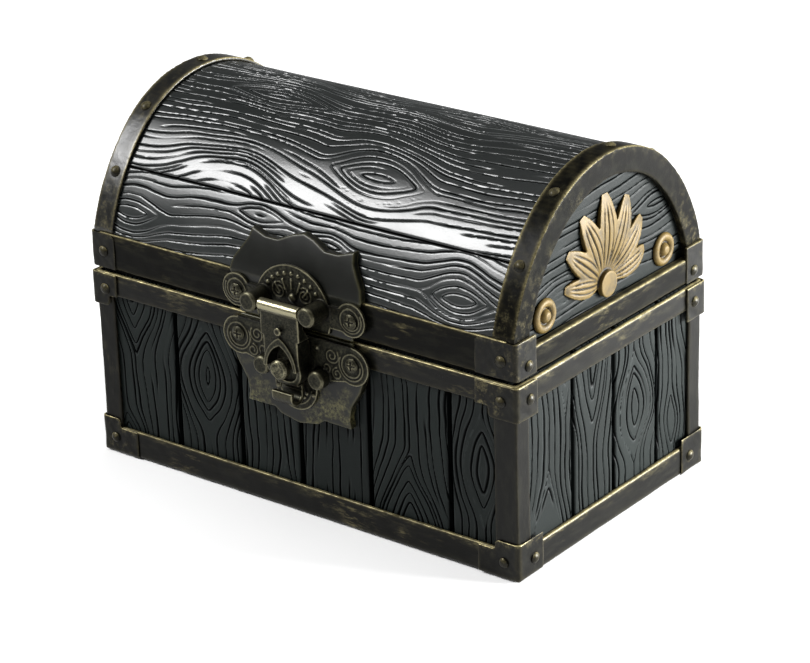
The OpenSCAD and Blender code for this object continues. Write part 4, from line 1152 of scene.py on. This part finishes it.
def antique_bronze(node, where, speck_share, ridge_share, rubbed_above=None):
    """Cast bronze, blackened and rubbed back: ridges shine warm, hollows keep their dark patina and stay
    dull, and deep creases are painted darker as shade.

    Above the given height, it is painted bright all over: a painted highlight.
    """
    wear, grime = (
        node("Attribute", {"attribute_name": name}, out="Fac") for name in ("wear", "grime"))
    # Casting grain of about half a millimetre, and clouds 3 mm wide
    fleck, cloud = (
        node("TexNoise", {"Scale": 1 / (size * MM), "Detail": 4.0, "Roughness": rough},
             {"Vector": where})
        for size, rough in ((0.476, 0.7), (3.03, 0.6)))
    speckle = node("MapRange", {"From Min": 0.42, "From Max": 0.66}, {"Value": fleck})
    flat = node("Math", {"operation": "MULTIPLY"}, {0: speckle, 1: cloud})
    thin = node("Math", {"operation": "MULTIPLY", 1: speck_share}, {0: flat})
    bright_at = node("Math", {"operation": "MULTIPLY_ADD", "use_clamp": True, 1: ridge_share},
                     {0: wear, 2: thin})
    if rubbed_above is not None:
        # Painted highlight: above the height the colour goes to the worn bronze
        up = node("SeparateXYZ", {}, {"Vector": where}, "Z")
        high = node("MapRange", {
            "From Min": rubbed_above, "From Max": rubbed_above + 0.6 * MM}, {"Value": up})
        bright_at = node("Math", {"operation": "MAXIMUM"}, {0: bright_at, 1: high})
    ground = node("Mix", {
        "data_type": "RGBA", 6: tuple(colours().patina), 7: tuple(colours().worn)}, {0: bright_at}, 2)
    # Painted shade: deep creases are mixed towards black
    colour = node("Mix", {"data_type": "RGBA", 7: linear("#080706")}, {0: grime, 6: ground}, 2)
    rough = node("MapRange", {"To Min": 0.46, "To Max": 0.28}, {"Value": bright_at})
    close(node, {"Metallic": 0.92}, {"Base Color": colour, "Roughness": rough}, fleck, 0.08, 0.5)


def hinge_brass(node, where):
    """Rolled brass strip with an antique finish, mottled by its lacquer in clouds of 2.4 mm."""
    cloud = node("TexNoise", {"Scale": 1 / (2.38 * MM), "Detail": 5.0, "Roughness": 0.65},
                 {"Vector": where})
    colour = node("Mix", {"data_type": "RGBA", 6: linear("#4a4128"), 7: linear("#8f7f52")},
                  {0: cloud}, 2)
    rough = node("MapRange", {"To Min": 0.3, "To Max": 0.5}, {"Value": cloud})
    close(node, {"Metallic": 0.95}, {"Base Color": colour, "Roughness": rough}, cloud, 0.03, 0.2)


def inner_resin(node, where):
    """Bare cast resin, sprayed matt black, mottled in clouds of 7 mm over grit of 0.4 mm."""
    cloud, grit = (
        node("TexNoise", {"Scale": 1 / (size * MM), "Detail": detail, "Roughness": rough},
             {"Vector": where})
        for size, detail, rough in ((7.14, 4.0, 0.6), (0.417, 3.0, 0.5)))
    colour = node("Mix", {"data_type": "RGBA", 6: linear("#151617"), 7: linear("#1f2122")},
                  {0: cloud}, 2)
    close(node, {"Roughness": 0.62}, {"Base Color": colour}, grit, 0.05, 0.3)


def floor_paper(node, where):
    """Seamless white paper, even and matt, with fibres of 1.1 mm."""
    fibre = node("TexNoise", {"Scale": 1 / (1.11 * MM), "Detail": 2.0}, {"Vector": where})
    close(node, {"Base Color": tuple(colours().floor), "Roughness": 0.9, "Specular IOR Level": 0.2}, {},
          fibre, 0.02, 0.1)


# Stage

# Soft lamps: name, where they stand, what they face, width and height, power
LAMPS = (
    ("key_softbox", (-0.66, -0.66, 0.82), (0, 0, 0.07), 0.45, 0.34, 17.0),
    ("right_softbox", (0.62, 0.38, 0.14), (0.07, 0, 0.03), 0.4, 0.24, 27.0),
    ("top_softbox", (0.0, 0.1, 1.1), (0, 0, 0.05), 0.9, 0.9, 3.2),
)
WORLD_GLOW = 0.15
# The floor lies this far under the chest's feet
FLOOR_DROP = 0.0002
# The camera that took the photograph: its place, the place it is turned to, its roll in degrees, its focal
# length in millimetres on a 36 mm sensor, and the shift of the picture as shares of its width
CAMERA_PLACE = (0.4538, -0.5736, 0.3498)
CAMERA_TARGET = (0, 0, 0.05)
CAMERA_ROLL = -1.771
CAMERA_LENS = 133.1
CAMERA_SHIFT = (0.0121, -0.0584)


class CHEST_OT_stage(bpy.types.Operator):
    """Sets the floor, the lamps, the world and the camera"""

    bl_idname = "chest.stage"
    bl_label = "Stage"

    def execute(self, context):
        scene = context.scene
        bpy.ops.mesh.primitive_plane_add(size=8, location=(0, 0, -FLOOR_DROP))
        floor = context.object
        floor.name = "paper_floor"
        bpy.ops.object.transform_apply(location=True)
        floor.data.materials.append(finished("white_paper", floor_paper))
        for name, where, target, width, height, power in LAMPS:
            light = bpy.data.lights.new(name, "AREA")
            light.energy = power
            light.shape = "RECTANGLE"
            light.size = width
            light.size_y = height
            lamp = bpy.data.objects.new(name, light)
            scene.collection.objects.link(lamp)
            lamp.location = where
            lamp.rotation_euler = (Vector(target) - Vector(where)).to_track_quat("-Z", "Y").to_euler()
        self.light_world(scene)
        self.aim_camera(scene)
        scene.view_settings.view_transform = "Standard"
        return {"FINISHED"}

    def light_world(self, scene):
        """Even dim light for the object, and a pure white background."""
        world = bpy.data.worlds.new("white_studio")
        world.use_nodes = True
        tree = world.node_tree
        tree.nodes.clear()
        rays = add_node(tree, "LightPath").node.outputs
        seen = add_node(tree, "Math", {"operation": "MAXIMUM"},
                        {0: rays["Is Camera Ray"], 1: rays["Is Transmission Ray"]})
        strength = add_node(tree, "MapRange", {"To Min": WORLD_GLOW, "To Max": 1.0}, {"Value": seen})
        glow = add_node(tree, "Background", {"Color": (1, 1, 1, 1)}, {"Strength": strength})
        add_node(tree, "OutputWorld", {}, {"Surface": glow})
        scene.world = world

    def aim_camera(self, scene):
        """Puts the camera where the photograph was taken, with the photograph's framing."""
        lens = bpy.data.cameras.new("photo_view")
        lens.sensor_width = 36
        lens.lens = CAMERA_LENS
        lens.shift_x, lens.shift_y = CAMERA_SHIFT
        lens.clip_end = 20
        camera = bpy.data.objects.new("photo_view", lens)
        scene.collection.objects.link(camera)
        camera.location = CAMERA_PLACE
        sight = (Vector(CAMERA_TARGET) - camera.location).to_track_quat("-Z", "Y")
        camera.rotation_euler = sight.to_euler()
        camera.rotation_euler.rotate_axis("Z", math.radians(CAMERA_ROLL))
        scene.camera = camera


OPERATORS = (
    CHEST_OT_case_planks, CHEST_OT_vault, CHEST_OT_end_panels, CHEST_OT_bands, CHEST_OT_brackets,
    CHEST_OT_shields, CHEST_OT_latch, CHEST_OT_ornament, CHEST_OT_plain_parts, CHEST_OT_stage,
)


class CHEST_PT_panel(bpy.types.Panel):
    """Lists the chest's pieces, sizes and colours in the 3D view's sidebar"""

    bl_idname = "CHEST_PT_panel"
    bl_label = "Vaulted chest"
    bl_space_type = "VIEW_3D"
    bl_region_type = "UI"
    bl_category = "Chest"

    def draw(self, context):
        column = self.layout.column(align=True)
        for operator in OPERATORS:
            column.operator(operator.bl_idname)
        for group in (context.scene.chest_sizes, context.scene.chest_colours):
            box = self.layout.box()
            for name in group.__annotations__:
                box.prop(group, name)


CLASSES = (ChestSizes, ChestColours) + OPERATORS + (CHEST_PT_panel,)


def register():
    for cls in CLASSES:
        bpy.utils.register_class(cls)
    bpy.types.Scene.chest_sizes = bpy.props.PointerProperty(type=ChestSizes)
    bpy.types.Scene.chest_colours = bpy.props.PointerProperty(type=ChestColours)


def unregister():
    del bpy.types.Scene.chest_colours
    del bpy.types.Scene.chest_sizes
    for cls in reversed(CLASSES):
        bpy.utils.unregister_class(cls)


def main():
    register()
    bpy.ops.chest.case_planks()
    bpy.ops.chest.vault()
    bpy.ops.chest.end_panels()
    bpy.ops.chest.bands()
    bpy.ops.chest.brackets()
    bpy.ops.chest.shields()
    bpy.ops.chest.latch()
    bpy.ops.chest.ornament()
    bpy.ops.chest.plain_parts()
    bpy.ops.chest.stage()


if __name__ == "__main__":
    main()
